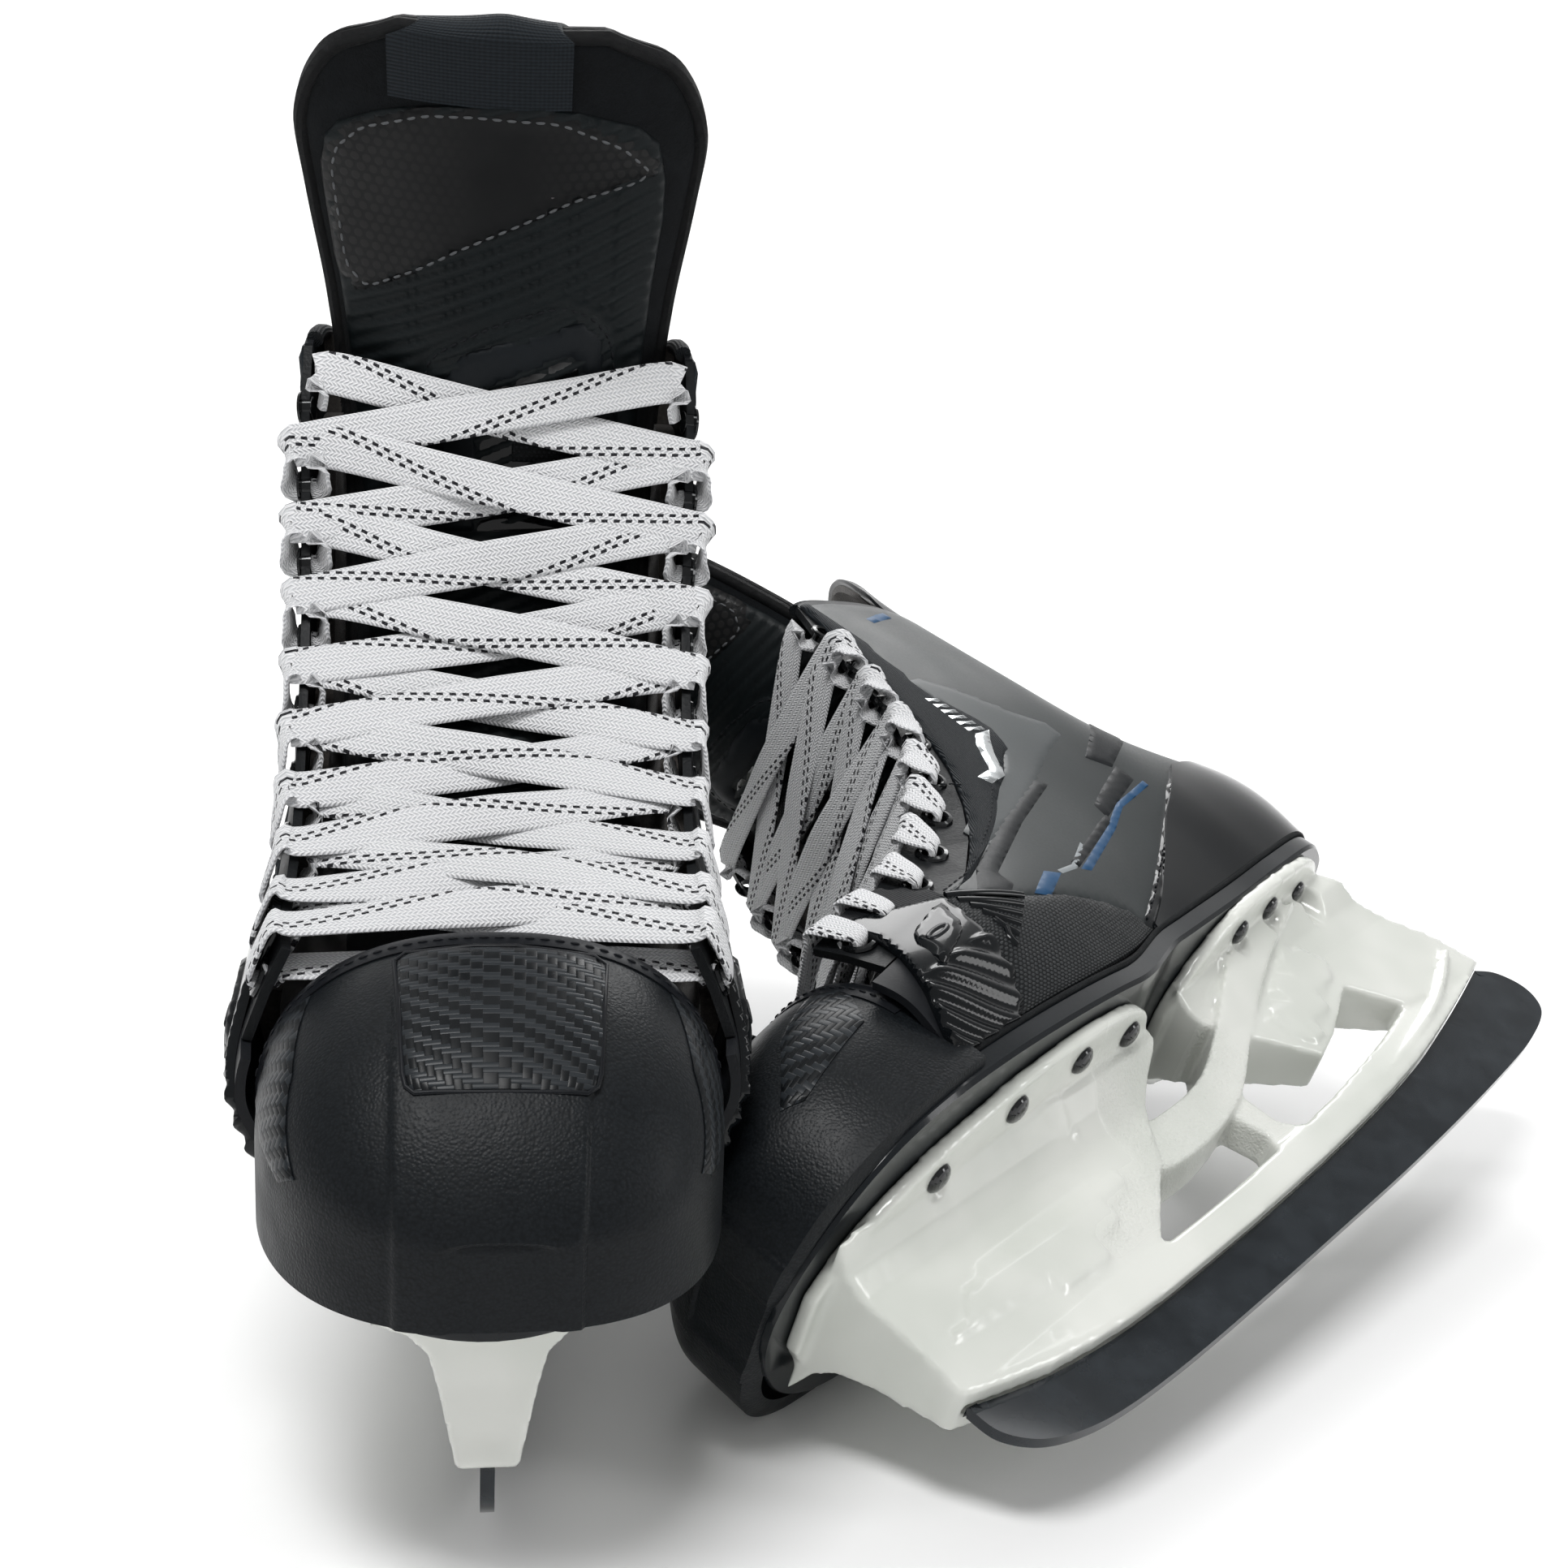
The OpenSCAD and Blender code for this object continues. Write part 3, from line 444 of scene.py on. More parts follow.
# Puts one mesh on both skates. With bend set to tongue the placing is baked into the piece's mesh instead of
# hanging it on a body.
def fit(name, mesh, material, body="boot", replaces=(), slot=None, bend=None, fill=None):
    materials = material if isinstance(material, (list, tuple)) else [material]
    for side in ("right", "left"):
        copy = mesh.copy()
        copy.name = f"{side}_{name}"
        copy.transform(placing[side])
        if side == "right":
            copy.flip_normals()
        copy.materials.clear()
        for m in materials:
            copy.materials.append(m)
        piece = bpy.data.objects.new(f"{side}_{name}", copy)
        bpy.context.scene.collection.objects.link(piece)
        if bend == "tongue":
            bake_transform(piece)
        else:
            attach(piece, f"{side}_{body}")
        if replaces:
            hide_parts(*[f"{side}_{node}" for node in replaces])
    bpy.data.meshes.remove(mesh)


# material tools: every pattern is measured in millimetres on the piece's own flat layout
def startMaterial(name, color, rough, metal=0.0, coat=0.0, coatRough=0.06, sheen=0.0, specular=0.15):
    mat = bpy.data.materials.new(name)
    mat.use_nodes = True
    tree = mat.node_tree
    shader = tree.nodes["Principled BSDF"]
    shader.inputs["Base Color"].default_value = (*color, 1)
    shader.inputs["Roughness"].default_value = rough
    shader.inputs["Metallic"].default_value = metal
    shader.inputs["Coat Weight"].default_value = coat
    shader.inputs["Coat Roughness"].default_value = coatRough
    shader.inputs["Sheen Weight"].default_value = sheen
    shader.inputs["Sheen Roughness"].default_value = 0.45
    shader.inputs["Specular IOR Level"].default_value = specular
    return mat, tree, shader


def node(tree, kind, values=(), **settings):
    made = tree.nodes.new("ShaderNode" + kind)
    for key, value in settings.items():
        setattr(made, key, value)
    for key, value in dict(values).items():
        if isinstance(value, bpy.types.NodeSocket):
            tree.links.new(value, made.inputs[key])
        else:
            made.inputs[key].default_value = value
    return made


def calc(tree, how, a, b=0.0, c=0.0):
    return node(tree, "Math", {0: a, 1: b, 2: c}, operation=how).outputs[0]


def flatXY(tree):
    uv = node(tree, "UVMap", uv_map="surface").outputs[0]
    parts = node(tree, "SeparateXYZ", {0: uv})
    return parts.outputs[0], parts.outputs[1]


def objectMm(tree):
    place = node(tree, "TexCoord").outputs["Object"]
    return node(tree, "VectorMath", {0: place, "Scale": 1000.0}, operation="SCALE").outputs[0]


def noise(tree, size, detail=3.0, vector=None, rough=0.55):
    vector = vector or objectMm(tree)
    return node(tree, "TexNoise", {"Vector": vector, "Scale": 1 / size, "Detail": detail,
                                   "Roughness": rough}).outputs[0]


def spread(tree, value, low, high, toLow, toHigh):
    return node(tree, "MapRange", {0: value, 1: low, 2: high, 3: toLow, 4: toHigh}).outputs[0]


def raised(tree, shader, height, depth, strength=1.0):
    bump = node(tree, "Bump", {"Height": height, "Distance": depth / 1000, "Strength": strength})
    tree.links.new(bump.outputs[0], shader.inputs["Normal"])


def tinted(tree, shader, factor, first, second):
    mix = node(tree, "Mix", {0: factor, 6: (*first, 1), 7: (*second, 1)}, data_type="RGBA")
    tree.links.new(mix.outputs[2], shader.inputs["Base Color"])


def roughened(tree, shader, value, low, high):
    tree.links.new(spread(tree, value, 0.3, 0.7, low, high), shader.inputs["Roughness"])


# Plain moulded or coated finish with a fine grain, slight cloudiness and small scratches in its gloss.
def moulded(name, color, rough, grain=0.5, depth=0.02, cloud=0.15, **kind):
    mat, tree, shader = startMaterial(name, color, rough, **kind)
    fine = noise(tree, grain)
    large = noise(tree, 22, 2.0)
    tinted(tree, shader, spread(tree, large, 0.3, 0.7, 0, 1), [c * (1 - cloud) for c in color],
           [c * (1 + cloud) for c in color])
    roughened(tree, shader, calc(tree, "MULTIPLY_ADD", fine, 0.4, calc(tree, "MULTIPLY", large, 0.6)),
              rough * 0.8, min(rough * 1.25, 1))
    raised(tree, shader, fine, depth)
    return mat


# Pebbled plastic: a cell pattern of rounded pebbles, with painted shade in the hollows between them and
# painted highlight on their tops.
def pebbled(name, color, rough, size, depth, **kind):
    mat, tree, shader = startMaterial(name, color, rough, **kind)
    cell = node(tree, "TexVoronoi", {"Vector": objectMm(tree), "Scale": 1 / size},
                feature="SMOOTH_F1").outputs[0]
    raised(tree, shader, calc(tree, "SUBTRACT", 1.0, cell), depth)
    roughened(tree, shader, noise(tree, 14), rough * 0.85, rough * 1.2)
    # painted shade and highlight: darker towards the cell edges, lighter at the cell centres, following the
    # pebble height
    tinted(tree, shader, spread(tree, cell, 0.2, 0.7, 0, 1), [c * 1.25 for c in color],
           [c * 0.7 for c in color])
    return mat


# Cloth with a raised rib, its direction given by how far it runs sideways for each mm up. The grooves are
# painted darker as painted shade and the rib tops lighter as painted highlight.
def ribbed(name, color, rough, pitch, depth, lean=0.0, crossPitch=0.0, **kind):
    mat, tree, shader = startMaterial(name, color, rough, **kind)
    x, y = flatXY(tree)
    line = calc(tree, "MULTIPLY_ADD", x, lean, y)
    wave = calc(tree, "SINE", calc(tree, "MULTIPLY", line, 2 * math.pi / pitch))
    if crossPitch:
        other = calc(tree, "SINE", calc(tree, "MULTIPLY", x, 2 * math.pi / crossPitch))
        wave = calc(tree, "MULTIPLY_ADD", other, 0.5, wave)
    fuzz = noise(tree, 0.35)
    raised(tree, shader, calc(tree, "MULTIPLY_ADD", fuzz, 0.8, wave), depth)
    # painted shade in the grooves and painted highlight on the rib tops, following the rib height
    tinted(tree, shader, spread(tree, wave, -1, 1, 0, 1), [c * 0.55 for c in color],
           [c * 1.3 for c in color])
    roughened(tree, shader, fuzz, rough * 0.9, min(1, rough * 1.15))
    return mat


# Two-up two-down twill: each tow is a rounded bar that runs across or along. The tows of one direction are
# painted lighter than those of the other, a painted sheen standing in for the light each fibre direction
# catches.
def twill(name, color, rough, tow, depth, slope=1.0, **kind):
    mat, tree, shader = startMaterial(name, color, rough, **kind)
    x, y = flatXY(tree)
    a = calc(tree, "DIVIDE", calc(tree, "ADD", x, 1000.0), tow)
    b = calc(tree, "DIVIDE", calc(tree, "ADD", y, 1000.0), tow * slope)
    step = calc(tree, "MODULO", calc(tree, "ADD", calc(tree, "FLOOR", a), calc(tree, "FLOOR", b)), 4.0)
    across = calc(tree, "LESS_THAN", step, 1.5)
    fa = calc(tree, "ABSOLUTE", calc(tree, "SUBTRACT", calc(tree, "FRACT", a), 0.5))
    fb = calc(tree, "ABSOLUTE", calc(tree, "SUBTRACT", calc(tree, "FRACT", b), 0.5))
    bar = node(tree, "Mix", {0: across, 2: fa, 3: fb}).outputs[0]
    height = calc(tree, "SQRT", calc(tree, "SUBTRACT", 0.26, calc(tree, "MULTIPLY", bar, bar)))
    raised(tree, shader, height, depth)
    # painted sheen: a tow's colour follows its direction, not its dye
    tinted(tree, shader, across, [c * 0.55 for c in color], [c * 1.6 for c in color])
    roughened(tree, shader, noise(tree, 9), rough * 0.8, rough * 1.3)
    return mat


# Rows of small dots in a honeycomb.
def dotted(name, color, dot, rough, pitch, size, depth, fade=None, **kind):
    mat, tree, shader = startMaterial(name, color, rough, **kind)
    x, y = flatXY(tree)
    row = calc(tree, "DIVIDE", calc(tree, "ADD", y, 1000.0), pitch * 0.866)
    odd = calc(tree, "MODULO", calc(tree, "FLOOR", row), 2.0)
    col = calc(tree, "MULTIPLY_ADD", odd, 0.5, calc(tree, "DIVIDE", calc(tree, "ADD", x, 1000.0), pitch))
    fx = calc(tree, "SUBTRACT", calc(tree, "FRACT", col), 0.5)
    fy = calc(tree, "MULTIPLY", calc(tree, "SUBTRACT", calc(tree, "FRACT", row), 0.5), 0.866)
    r = calc(tree, "SQRT", calc(tree, "ADD", calc(tree, "MULTIPLY", fx, fx),
                                calc(tree, "MULTIPLY", fy, fy)))
    inside = spread(tree, r, size, size + 0.12, 1, 0)
    if fade:
        inside = calc(tree, "MULTIPLY", inside, spread(tree, calc(tree, "ABSOLUTE", x), fade[0], fade[1],
                                                       0, 1))
    tinted(tree, shader, inside, color, dot)
    fine = noise(tree, 0.6)
    raised(tree, shader, calc(tree, "MULTIPLY_ADD", fine, 0.3, inside), depth)
    roughened(tree, shader, noise(tree, 12), rough * 0.8, rough * 1.25)
    return mat


def fuzzy(name, color, size=0.8, depth=0.25, sheen=0.35):
    mat, tree, shader = startMaterial(name, color, 0.95, sheen=sheen, specular=0.15)
    fibre = noise(tree, size, 6.0, rough=0.75)
    patch = noise(tree, 9, 3.0)
    raised(tree, shader, fibre, depth)
    mixed = calc(tree, "MULTIPLY_ADD", fibre, 0.6, calc(tree, "MULTIPLY", patch, 0.4))
    tinted(tree, shader, spread(tree, mixed, 0.35, 0.65, 0, 1), [c * 0.6 for c in color],
           [c * 1.5 for c in color])
    return mat


# Flat knitted lace: a herringbone of stitches with two rows of black ticks that wander from edge to edge. The
# knit's low parts take the darker shade colour as painted shade.
laceLook = {"white": (0.88, 0.88, 0.89), "shade": (0.52, 0.53, 0.55), "tick": (0.012, 0.012, 0.016),
            "knit": 1.15, "period": 118.0, "reach": 4.4, "apart": 0.85, "dash": 3.1}


def knitMaterial():
    look = laceLook
    mat, tree, shader = startMaterial("laceKnit", look["white"], 0.85, sheen=0.25, specular=0.25)
    x, y = flatXY(tree)
    side = calc(tree, "ABSOLUTE", calc(tree, "SUBTRACT", calc(tree, "FRACT", calc(
        tree, "DIVIDE", calc(tree, "ADD", y, 100.0), 2 * look["knit"])), 0.5))
    chevron = calc(tree, "SINE", calc(tree, "MULTIPLY", calc(
        tree, "MULTIPLY_ADD", side, 2.4 * look["knit"], x), 2 * math.pi / look["knit"]))
    column = calc(tree, "SINE", calc(tree, "MULTIPLY", y, 2 * math.pi / look["knit"]))
    knit = calc(tree, "MULTIPLY_ADD", column, 0.6, chevron)
    fuzz = noise(tree, 0.3)
    raised(tree, shader, calc(tree, "MULTIPLY_ADD", fuzz, 0.9, knit), 0.11)
    turn = calc(tree, "FRACT", calc(tree, "DIVIDE", x, look["period"]))
    wander = calc(tree, "MULTIPLY", calc(tree, "SUBTRACT", calc(tree, "ABSOLUTE", calc(
        tree, "SUBTRACT", turn, 0.5)), 0.25), 4 * look["reach"] * 1.5)
    ticks = None
    for k, way in enumerate((-1, 1)):
        off = calc(tree, "ABSOLUTE", calc(tree, "SUBTRACT", y,
                                          calc(tree, "ADD", wander, way * look["apart"])))
        row = calc(tree, "LESS_THAN", off, 0.42)
        dash = calc(tree, "LESS_THAN", calc(tree, "FRACT", calc(
            tree, "ADD", calc(tree, "DIVIDE", x, look["dash"]), 0.5 * k)), 0.52)
        one = calc(tree, "MULTIPLY", row, dash)
        ticks = one if ticks is None else calc(tree, "MAXIMUM", ticks, one)
    # painted shade: the knit's hollows are mixed toward the shade colour, following the knit height
    shade = node(tree, "Mix", {0: spread(tree, knit, -1.4, 1.2, 0, 1), 6: (*look["shade"], 1),
                               7: (*look["white"], 1)}, data_type="RGBA")
    colour = node(tree, "Mix", {0: ticks, 6: shade.outputs[2], 7: (*look["tick"], 1)}, data_type="RGBA")
    tree.links.new(colour.outputs[2], shader.inputs["Base Color"])
    return mat


# Holder plastic: glossy, with a rough cast grain where the piece says so.
def holderMaterial():
    mat, tree, shader = startMaterial("holderPlastic", (0.66, 0.675, 0.63), 0.2, coat=0.35, specular=0.5)
    cast = node(tree, "Attribute", attribute_name="grain").outputs["Fac"]
    grit = noise(tree, 0.9, 4.0)
    soft = noise(tree, 6, 2.0)
    height = calc(tree, "MULTIPLY_ADD", calc(tree, "MULTIPLY", grit, cast), 1.0,
                   calc(tree, "MULTIPLY", soft, 0.15))
    raised(tree, shader, height, 0.55)
    tree.links.new(spread(tree, calc(tree, "MULTIPLY_ADD", soft, 0.3, cast), 0, 1.2, 0.16, 0.6),
                   shader.inputs["Roughness"])
    tinted(tree, shader, spread(tree, noise(tree, 40, 2.0), 0.35, 0.65, 0, 1), (0.60, 0.62, 0.575),
           (0.70, 0.71, 0.67))
    return mat


def brushedSteel():
    mat, tree, shader = startMaterial("groundSteel", (0.62, 0.63, 0.65), 0.24, metal=1.0)
    x, y = flatXY(tree)
    run = node(tree, "CombineXYZ", {0: calc(tree, "MULTIPLY", x, 0.02),
                                    1: calc(tree, "MULTIPLY", y, 3.0)})
    lines = noise(tree, 1.0, 5.0, run.outputs[0])
    raised(tree, shader, lines, 0.02)
    roughened(tree, shader, lines, 0.18, 0.34)
    return mat


def coatedSteel():
    mat, tree, shader = startMaterial("coatedSteel", (0.010, 0.014, 0.018), 0.16, coat=0.4)
    haze = noise(tree, 12, 4.0)
    scuff = noise(tree, 1.2, 6.0, rough=0.7)
    tinted(tree, shader, spread(tree, haze, 0.35, 0.7, 0, 1), (0.006, 0.009, 0.012),
           (0.016, 0.021, 0.026))
    roughened(tree, shader, calc(tree, "MULTIPLY_ADD", scuff, 0.5, calc(tree, "MULTIPLY", haze, 0.5)),
              0.1, 0.26)
    raised(tree, shader, scuff, 0.006)
    return mat


looks = {
    "quarterBlack": moulded("quarterBlack", (0.010, 0.011, 0.013), 0.42, 0.6, 0.03),
    "greyFilm": moulded("greyFilm", (0.024, 0.028, 0.029), 0.36, 0.8, 0.008, 0.18, coat=0.08,
                        coatRough=0.25),
    "paleFilm": moulded("paleFilm", (0.052, 0.058, 0.060), 0.36, 0.8, 0.008, 0.12, coat=0.08,
                        coatRough=0.25),
    "darkPrint": moulded("darkPrint", (0.005, 0.0065, 0.008), 0.42, 0.8, 0.006),
    "bluePrint": moulded("bluePrint", (0.010, 0.055, 0.13), 0.36, 0.8, 0.006),
    "linePrint": moulded("linePrint", (0.23, 0.25, 0.26), 0.35, 0.8, 0.006),
    "ankleCloth": ribbed("ankleCloth", (0.008, 0.011, 0.014), 0.6, 1.1, 0.12, 0.9, sheen=0.02),
    "collarCloth": ribbed("collarCloth", (0.007, 0.009, 0.011), 0.65, 0.9, 0.1, 0.0, 0.9, sheen=0.04),
    "pebbleMesh": dotted("pebbleMesh", (0.006, 0.007, 0.008), (0.030, 0.033, 0.035), 0.42, 1.5, 0.26,
                         0.35),
    "flapCloth": ribbed("flapCloth", (0.008, 0.009, 0.011), 0.5, 1.0, 0.12, -1.2),
    "glossBlack": moulded("glossBlack", (0.004, 0.005, 0.006), 0.14, 6.0, 0.02, coat=0.22,
                          coatRough=0.05),
    "satinBlack": moulded("satinBlack", (0.007, 0.008, 0.010), 0.28, 0.7, 0.01, coat=0.15, coatRough=0.2),
    "capPebble": pebbled("capPebble", (0.0065, 0.008, 0.0095), 0.42, 0.62, 0.10),
    "capSmooth": moulded("capSmooth", (0.007, 0.008, 0.010), 0.36, 0.8, 0.015),
    "carbonTwill": twill("carbonTwill", (0.013, 0.015, 0.017), 0.3, 1.75, 0.25, 0.7),
    "sideTwill": twill("sideTwill", (0.011, 0.013, 0.015), 0.32, 1.9, 0.2),
    "soleGloss": moulded("soleGloss", (0.006, 0.008, 0.010), 0.2, 1.5, 0.02, coat=0.25),
    "glueLine": fuzzy("glueLine", (0.006, 0.007, 0.008), 0.9, 0.5, 0.03),
    "tongueCover": moulded("tongueCover", (0.006, 0.0085, 0.0095), 0.46, 0.45, 0.04),
    "tonguePrint": dotted("tonguePrint", (0.0055, 0.006, 0.0065), (0.013, 0.0128, 0.013), 0.4, 2.9, 0.3,
                          0.05,
                          (6, 34)),
    "velour": fuzzy("velour", (0.0045, 0.0055, 0.0065), 0.7, 0.3, 0.03),
    "ribBinding": ribbed("ribBinding", (0.007, 0.008, 0.010), 0.6, 1.0, 0.3, 1e3, sheen=0.03),
    "tabTape": ribbed("tabTape", (0.010, 0.0135, 0.017), 0.62, 0.9, 0.06, 0.0, 0.9, sheen=0.02),
    "slashMetal": moulded("slashMetal", (0.17, 0.15, 0.16), 0.32, 0.8, 0.005, 0.4, metal=0.8),
    "insertGloss": moulded("insertGloss", (0.003, 0.0035, 0.004), 0.07, 6.0, 0.01, coat=0.8),
    "insertFrame": moulded("insertFrame", (0.006, 0.008, 0.010), 0.5, 0.7, 0.02),
    "insertDots": dotted("insertDots", (0.004, 0.005, 0.006), (0.016, 0.018, 0.020), 0.35, 1.3, 0.25,
                         0.2),
    "felt": fuzzy("felt", (0.055, 0.050, 0.046), 0.9, 0.4, 0.3),
    "facingSkin": moulded("facingSkin", (0.008, 0.009, 0.010), 0.45, 0.9, 0.12),
    "eyeletGloss": moulded("eyeletGloss", (0.010, 0.011, 0.012), 0.12, 2.0, 0.01, metal=0.6, coat=0.5),
    "lockGrey": moulded("lockGrey", (0.13, 0.14, 0.145), 0.38, 0.6, 0.02),
    "badgeMetal": moulded("badgeMetal", (0.50, 0.52, 0.53), 0.22, 0.5, 0.01, 0.1, metal=1.0),
    "thread": moulded("thread", (0.009, 0.010, 0.012), 0.6, 0.3, 0.05),
    "paleThread": moulded("paleThread", (0.10, 0.105, 0.11), 0.35, 0.3, 0.05),
    "rivetGloss": moulded("rivetGloss", (0.008, 0.009, 0.010), 0.12, 3.0, 0.01, metal=0.4, coat=0.8),
    "boltSteel": moulded("boltSteel", (0.5, 0.5, 0.52), 0.3, 0.6, 0.01, metal=1.0),
    "insoleFoam": fuzzy("insoleFoam", (0.02, 0.021, 0.024), 1.0, 0.3, 0.2),
    "laceKnit": knitMaterial(),
    "holderPlastic": holderMaterial(),
    "groundSteel": brushedSteel(),
    "coatedSteel": coatedSteel(),
}
print("finishes made")


# how each piece is built, in millimetres
upper = {"filmHigh": 0.6, "paleHigh": 0.78, "printHigh": 0.98, "panelHigh": 1.7, "meshHigh": 1.3}
tongue = {"thick": 11.0, "edge": 5.0, "ribPitch": 4.2, "ribHigh": 1.35, "ribLean": 0.45, "fill": 0.75}
toeCap = {"rear": 222, "long": 64, "thick": 2.6, "panelHalf": 21, "panelHigh": 0.9}
laceCut = {"width": 11.0, "thick": 1.5, "clear": 2.4, "upright": 0.4}
guard = {"half": 2.8, "gap": 0.8, "high": 62, "thick": 3.0}
holderLook = {"voxel": 0.95, "soften": 3}
runnerLook = {"half": 1.5, "ground": 2.6}
eyelets = {"count": 10, "first": 5.32, "last": 10.2, "depth": 8}


def lerp(a, b, t):
    return a + (b - a) * t


def patch(name, us, low, high, rows, inside, outside):
    u = np.asarray(us, float)[:, None]
    a = np.abs(u)
    v = low(a) + (high(a) - low(a)) * np.linspace(0, 1, rows)[None]
    return gridShell(name, skin(u + 0 * v, v, np.full(v.shape, outside)),
                     skin(u + 0 * v, v, np.full(v.shape, inside)))


def bothSides(name, nodes, build, material, **kind):
    for label, foot in (("outer", 1), ("inner", -1)):
        replaced = [f"{n}_{label}" for n in nodes]
        fit(f"{name}_{label}", build(foot), material, replaces=replaced, **kind)


def flatLine(points):
    return np.array(lines(points), float)


# boot shell, heel cup, quarter film and prints
def shellTop(a):
    return np.where(a < 4.98, 3, below(a, 16.5))


def cupTop(a):
    return np.where(a < 2.6, 1.2, lerp(1.2, 0.12, (a - 2.6) / 3.7))


def buildUpper():
    us = np.unique(np.concatenate([np.linspace(-lastU, lastU, 177), [-4.96, -5, 4.96, 5]]))
    shell = patch("shell", us, lambda a: 0.02 + 0 * a, shellTop, 33, -2.2, 0)
    fit("boot_shell", shell, looks["quarterBlack"], replaces=["quarter_shell"], slot="quarter_composite")
    cup = patch("cup", np.linspace(-6.2, 6.2, 125), lambda a: 0.05 + 0 * a, cupTop, 15, 0.1, 2.1)
    fit("heel_shell", cup, looks["glossBlack"], replaces=["heel_cup"], slot="gloss_black")


filmEdge = [(0.25, 1.2), (1.5, 1.17), (2.9, 1.02), (3.7, 0.78), (4.6, 0.55), (6.0, 0.25), (6.3, 0.12),
            (6.5, 0.45), (6.96, 0.68), (7.6, 0.94), (8.22, 1.19), (8.68, 1.46), (9.08, 2.1), (8.6, 2.0),
            (8.02, 2.02), (7.22, 2.06), (6.8, 2.06), (5.86, 1.88), (5.05, 1.85), (4.98, 1.92),
            (5.0, 2.05),
            (5.2, 2.2), (5.15, 2.38), (5.0, 2.48), (4.9, 2.64), (4.9, 2.93), (3, 2.93), (1.5, 2.93),
            (0.25, 2.93)]
paleEdge = [(89, 199), (80, 190), (69, 173), (62, 166), (61, 158), (76, 153), (107, 139), (129, 130),
            (135, 129.5), (150, 124), (150, 133), (132, 141), (118, 149), (104, 152), (96, 158),
            (91, 170),
            (93, 180), (96, 199)]
prints = [("bar", [(93, 141.5), (97, 144.5), (127, 134), (164, 118.5), (175, 110), (166, 105.5),
                   (160, 108.5),
                   (160, 114), (125, 129.5)], "darkPrint"),
          ("darkTop", [(22, 160), (34, 150), (58, 140), (64, 147), (44, 158), (30, 166)], "darkPrint"),
          ("darkMid", [(56, 140), (55, 133), (71, 128), (86, 123), (85, 129), (73, 134)], "darkPrint"),
          ("darkLine", [(85, 124.5), (92, 122.5), (127, 110.5), (126, 108), (91, 119.8), (85, 121.8)],
           "darkPrint"),
          ("blueLine", [(52, 131.5), (75, 127), (90, 120.3), (126, 107.4), (122, 106), (88, 118.4),
                        (74, 124.9),
                        (52, 129)], "bluePrint"),
          ("blueBlock", [(137, 107.5), (143, 109.8), (157, 103.5), (152, 101)], "bluePrint"),
          ("paleLine", [(137, 108.9), (128, 109.6), (112, 116.8), (112, 115.2), (127.5, 107.8),
                        (136.5, 107.3)],
           "linePrint"),
          ("collarBlue", [(60, 236), (75, 232), (74, 229), (60, 232)], "bluePrint")]
seam = [(0.3, 1.2), (1.5, 1.17), (2.9, 1.02), (3.7, 0.78), (4.6, 0.55), (6.0, 0.25), (6.3, 0.15)]


def band(path, half):
    p = smoothed(path, 5)
    d = unit(np.gradient(p, axis=0))
    n = np.stack([-d[:, 1], d[:, 0]], 1) * half
    return np.vstack([p + n, (p - n)[::-1]])


def buildQuarter():
    edge = soften(flatLine(filmEdge), 1, 0.12)
    bothSides("film_sheet", ["quarter_film"], lambda foot: plate(
        "film", edge, fromLines(foot), 0.05, upper["filmHigh"], 0.4, 2.5), looks["greyFilm"],
        slot="satin_film")
    bothSides("quarter_pale", [], lambda foot: plate(
        "pale", paleEdge, fromSide(foot), 0.2, upper["paleHigh"], 0.15, 2), looks["paleFilm"],
        slot="satin_film")
    for name, corners, look in prints:
        bothSides("print_" + name, [], lambda foot: plate(
            name, corners, fromSide(foot), 0.4, upper["printHigh"], 0.12, 2), looks[look])
    strip = band(flatLine(seam), 3)
    bothSides("seam_strip", [], lambda foot: plate("strip", strip, fromLines(foot), 0.2, 1.5, 1.2, 3),
              looks["glossBlack"])
    for name, off in (("top", 2.2), ("low", -2.2)):
        line = band(flatLine(seam), abs(off))
        half = line[:len(line) // 2] if off > 0 else line[len(line) // 2:]
        bothSides("seam_stitch_" + name, [], lambda foot: stitches(
            "seam", half, fromLines(foot), 1.45, 3.2, 2.2, 0.3), looks["thread"])


# ankle panel, mesh, flap and wing
ankleLow = [(4.78, 2.95), (4.78, 2.61), (4.92, 2.41), (5.0, 2.31), (5.02, 2.2), (4.87, 2.09), (4.82, 1.9),
            (4.92, 1.75), (5.86, 1.82), (6.8, 1.99), (7.22, 2.0), (8.02, 1.98), (8.58, 1.92), (9.1, 2.0)]
meshTop = [(9.1, 2.13), (8.68, 1.46), (8.22, 1.19), (7.6, 0.94), (6.96, 0.68), (6.46, 0.45), (6.2, 0.06)]
flapEdge = [(9.42, 2.98), (9.1, 2.13), (9.12, 2), (9.46, 1.9), (10, 1.66), (10.12, 1.75), (9.98, 2.31),
            (10.08, 2.98)]
wingRear = [(9.14, 1.98), (9.22, 1.38), (9.24, 0.96), (9.28, 0.61), (9.42, 0.28), (9.6, 0.05)]
wingFront = [(10.14, 2.92), (10.1, 2.23), (10.26, 1.69), (10.6, 0.92), (10.94, 0.39), (10.98, 0.05)]
diamond = [(9.26, 1.98), (9.38, 1.43), (9.5, 1.26), (10.1, 0.98), (9.96, 1.76)]


def ankleTop():
    u = np.linspace(9.1, 4.96, 12)
    return [(a, float(below(a, 16.2 if a > 5 else 1))) for a in u]


def wingRibs(flat):
    u = flat[:, 0] / 22
    v = flat[:, 1] / 32
    fan = (u - 9.2) * 2.3 + (1.1 - v) * 2.4
    wave = 0.5 - 0.5 * np.cos(2 * math.pi * fan)
    return np.where(v < 1.15, ease((1.15 - v) * 8) * (wave * 1.3 - 0.3), 0)


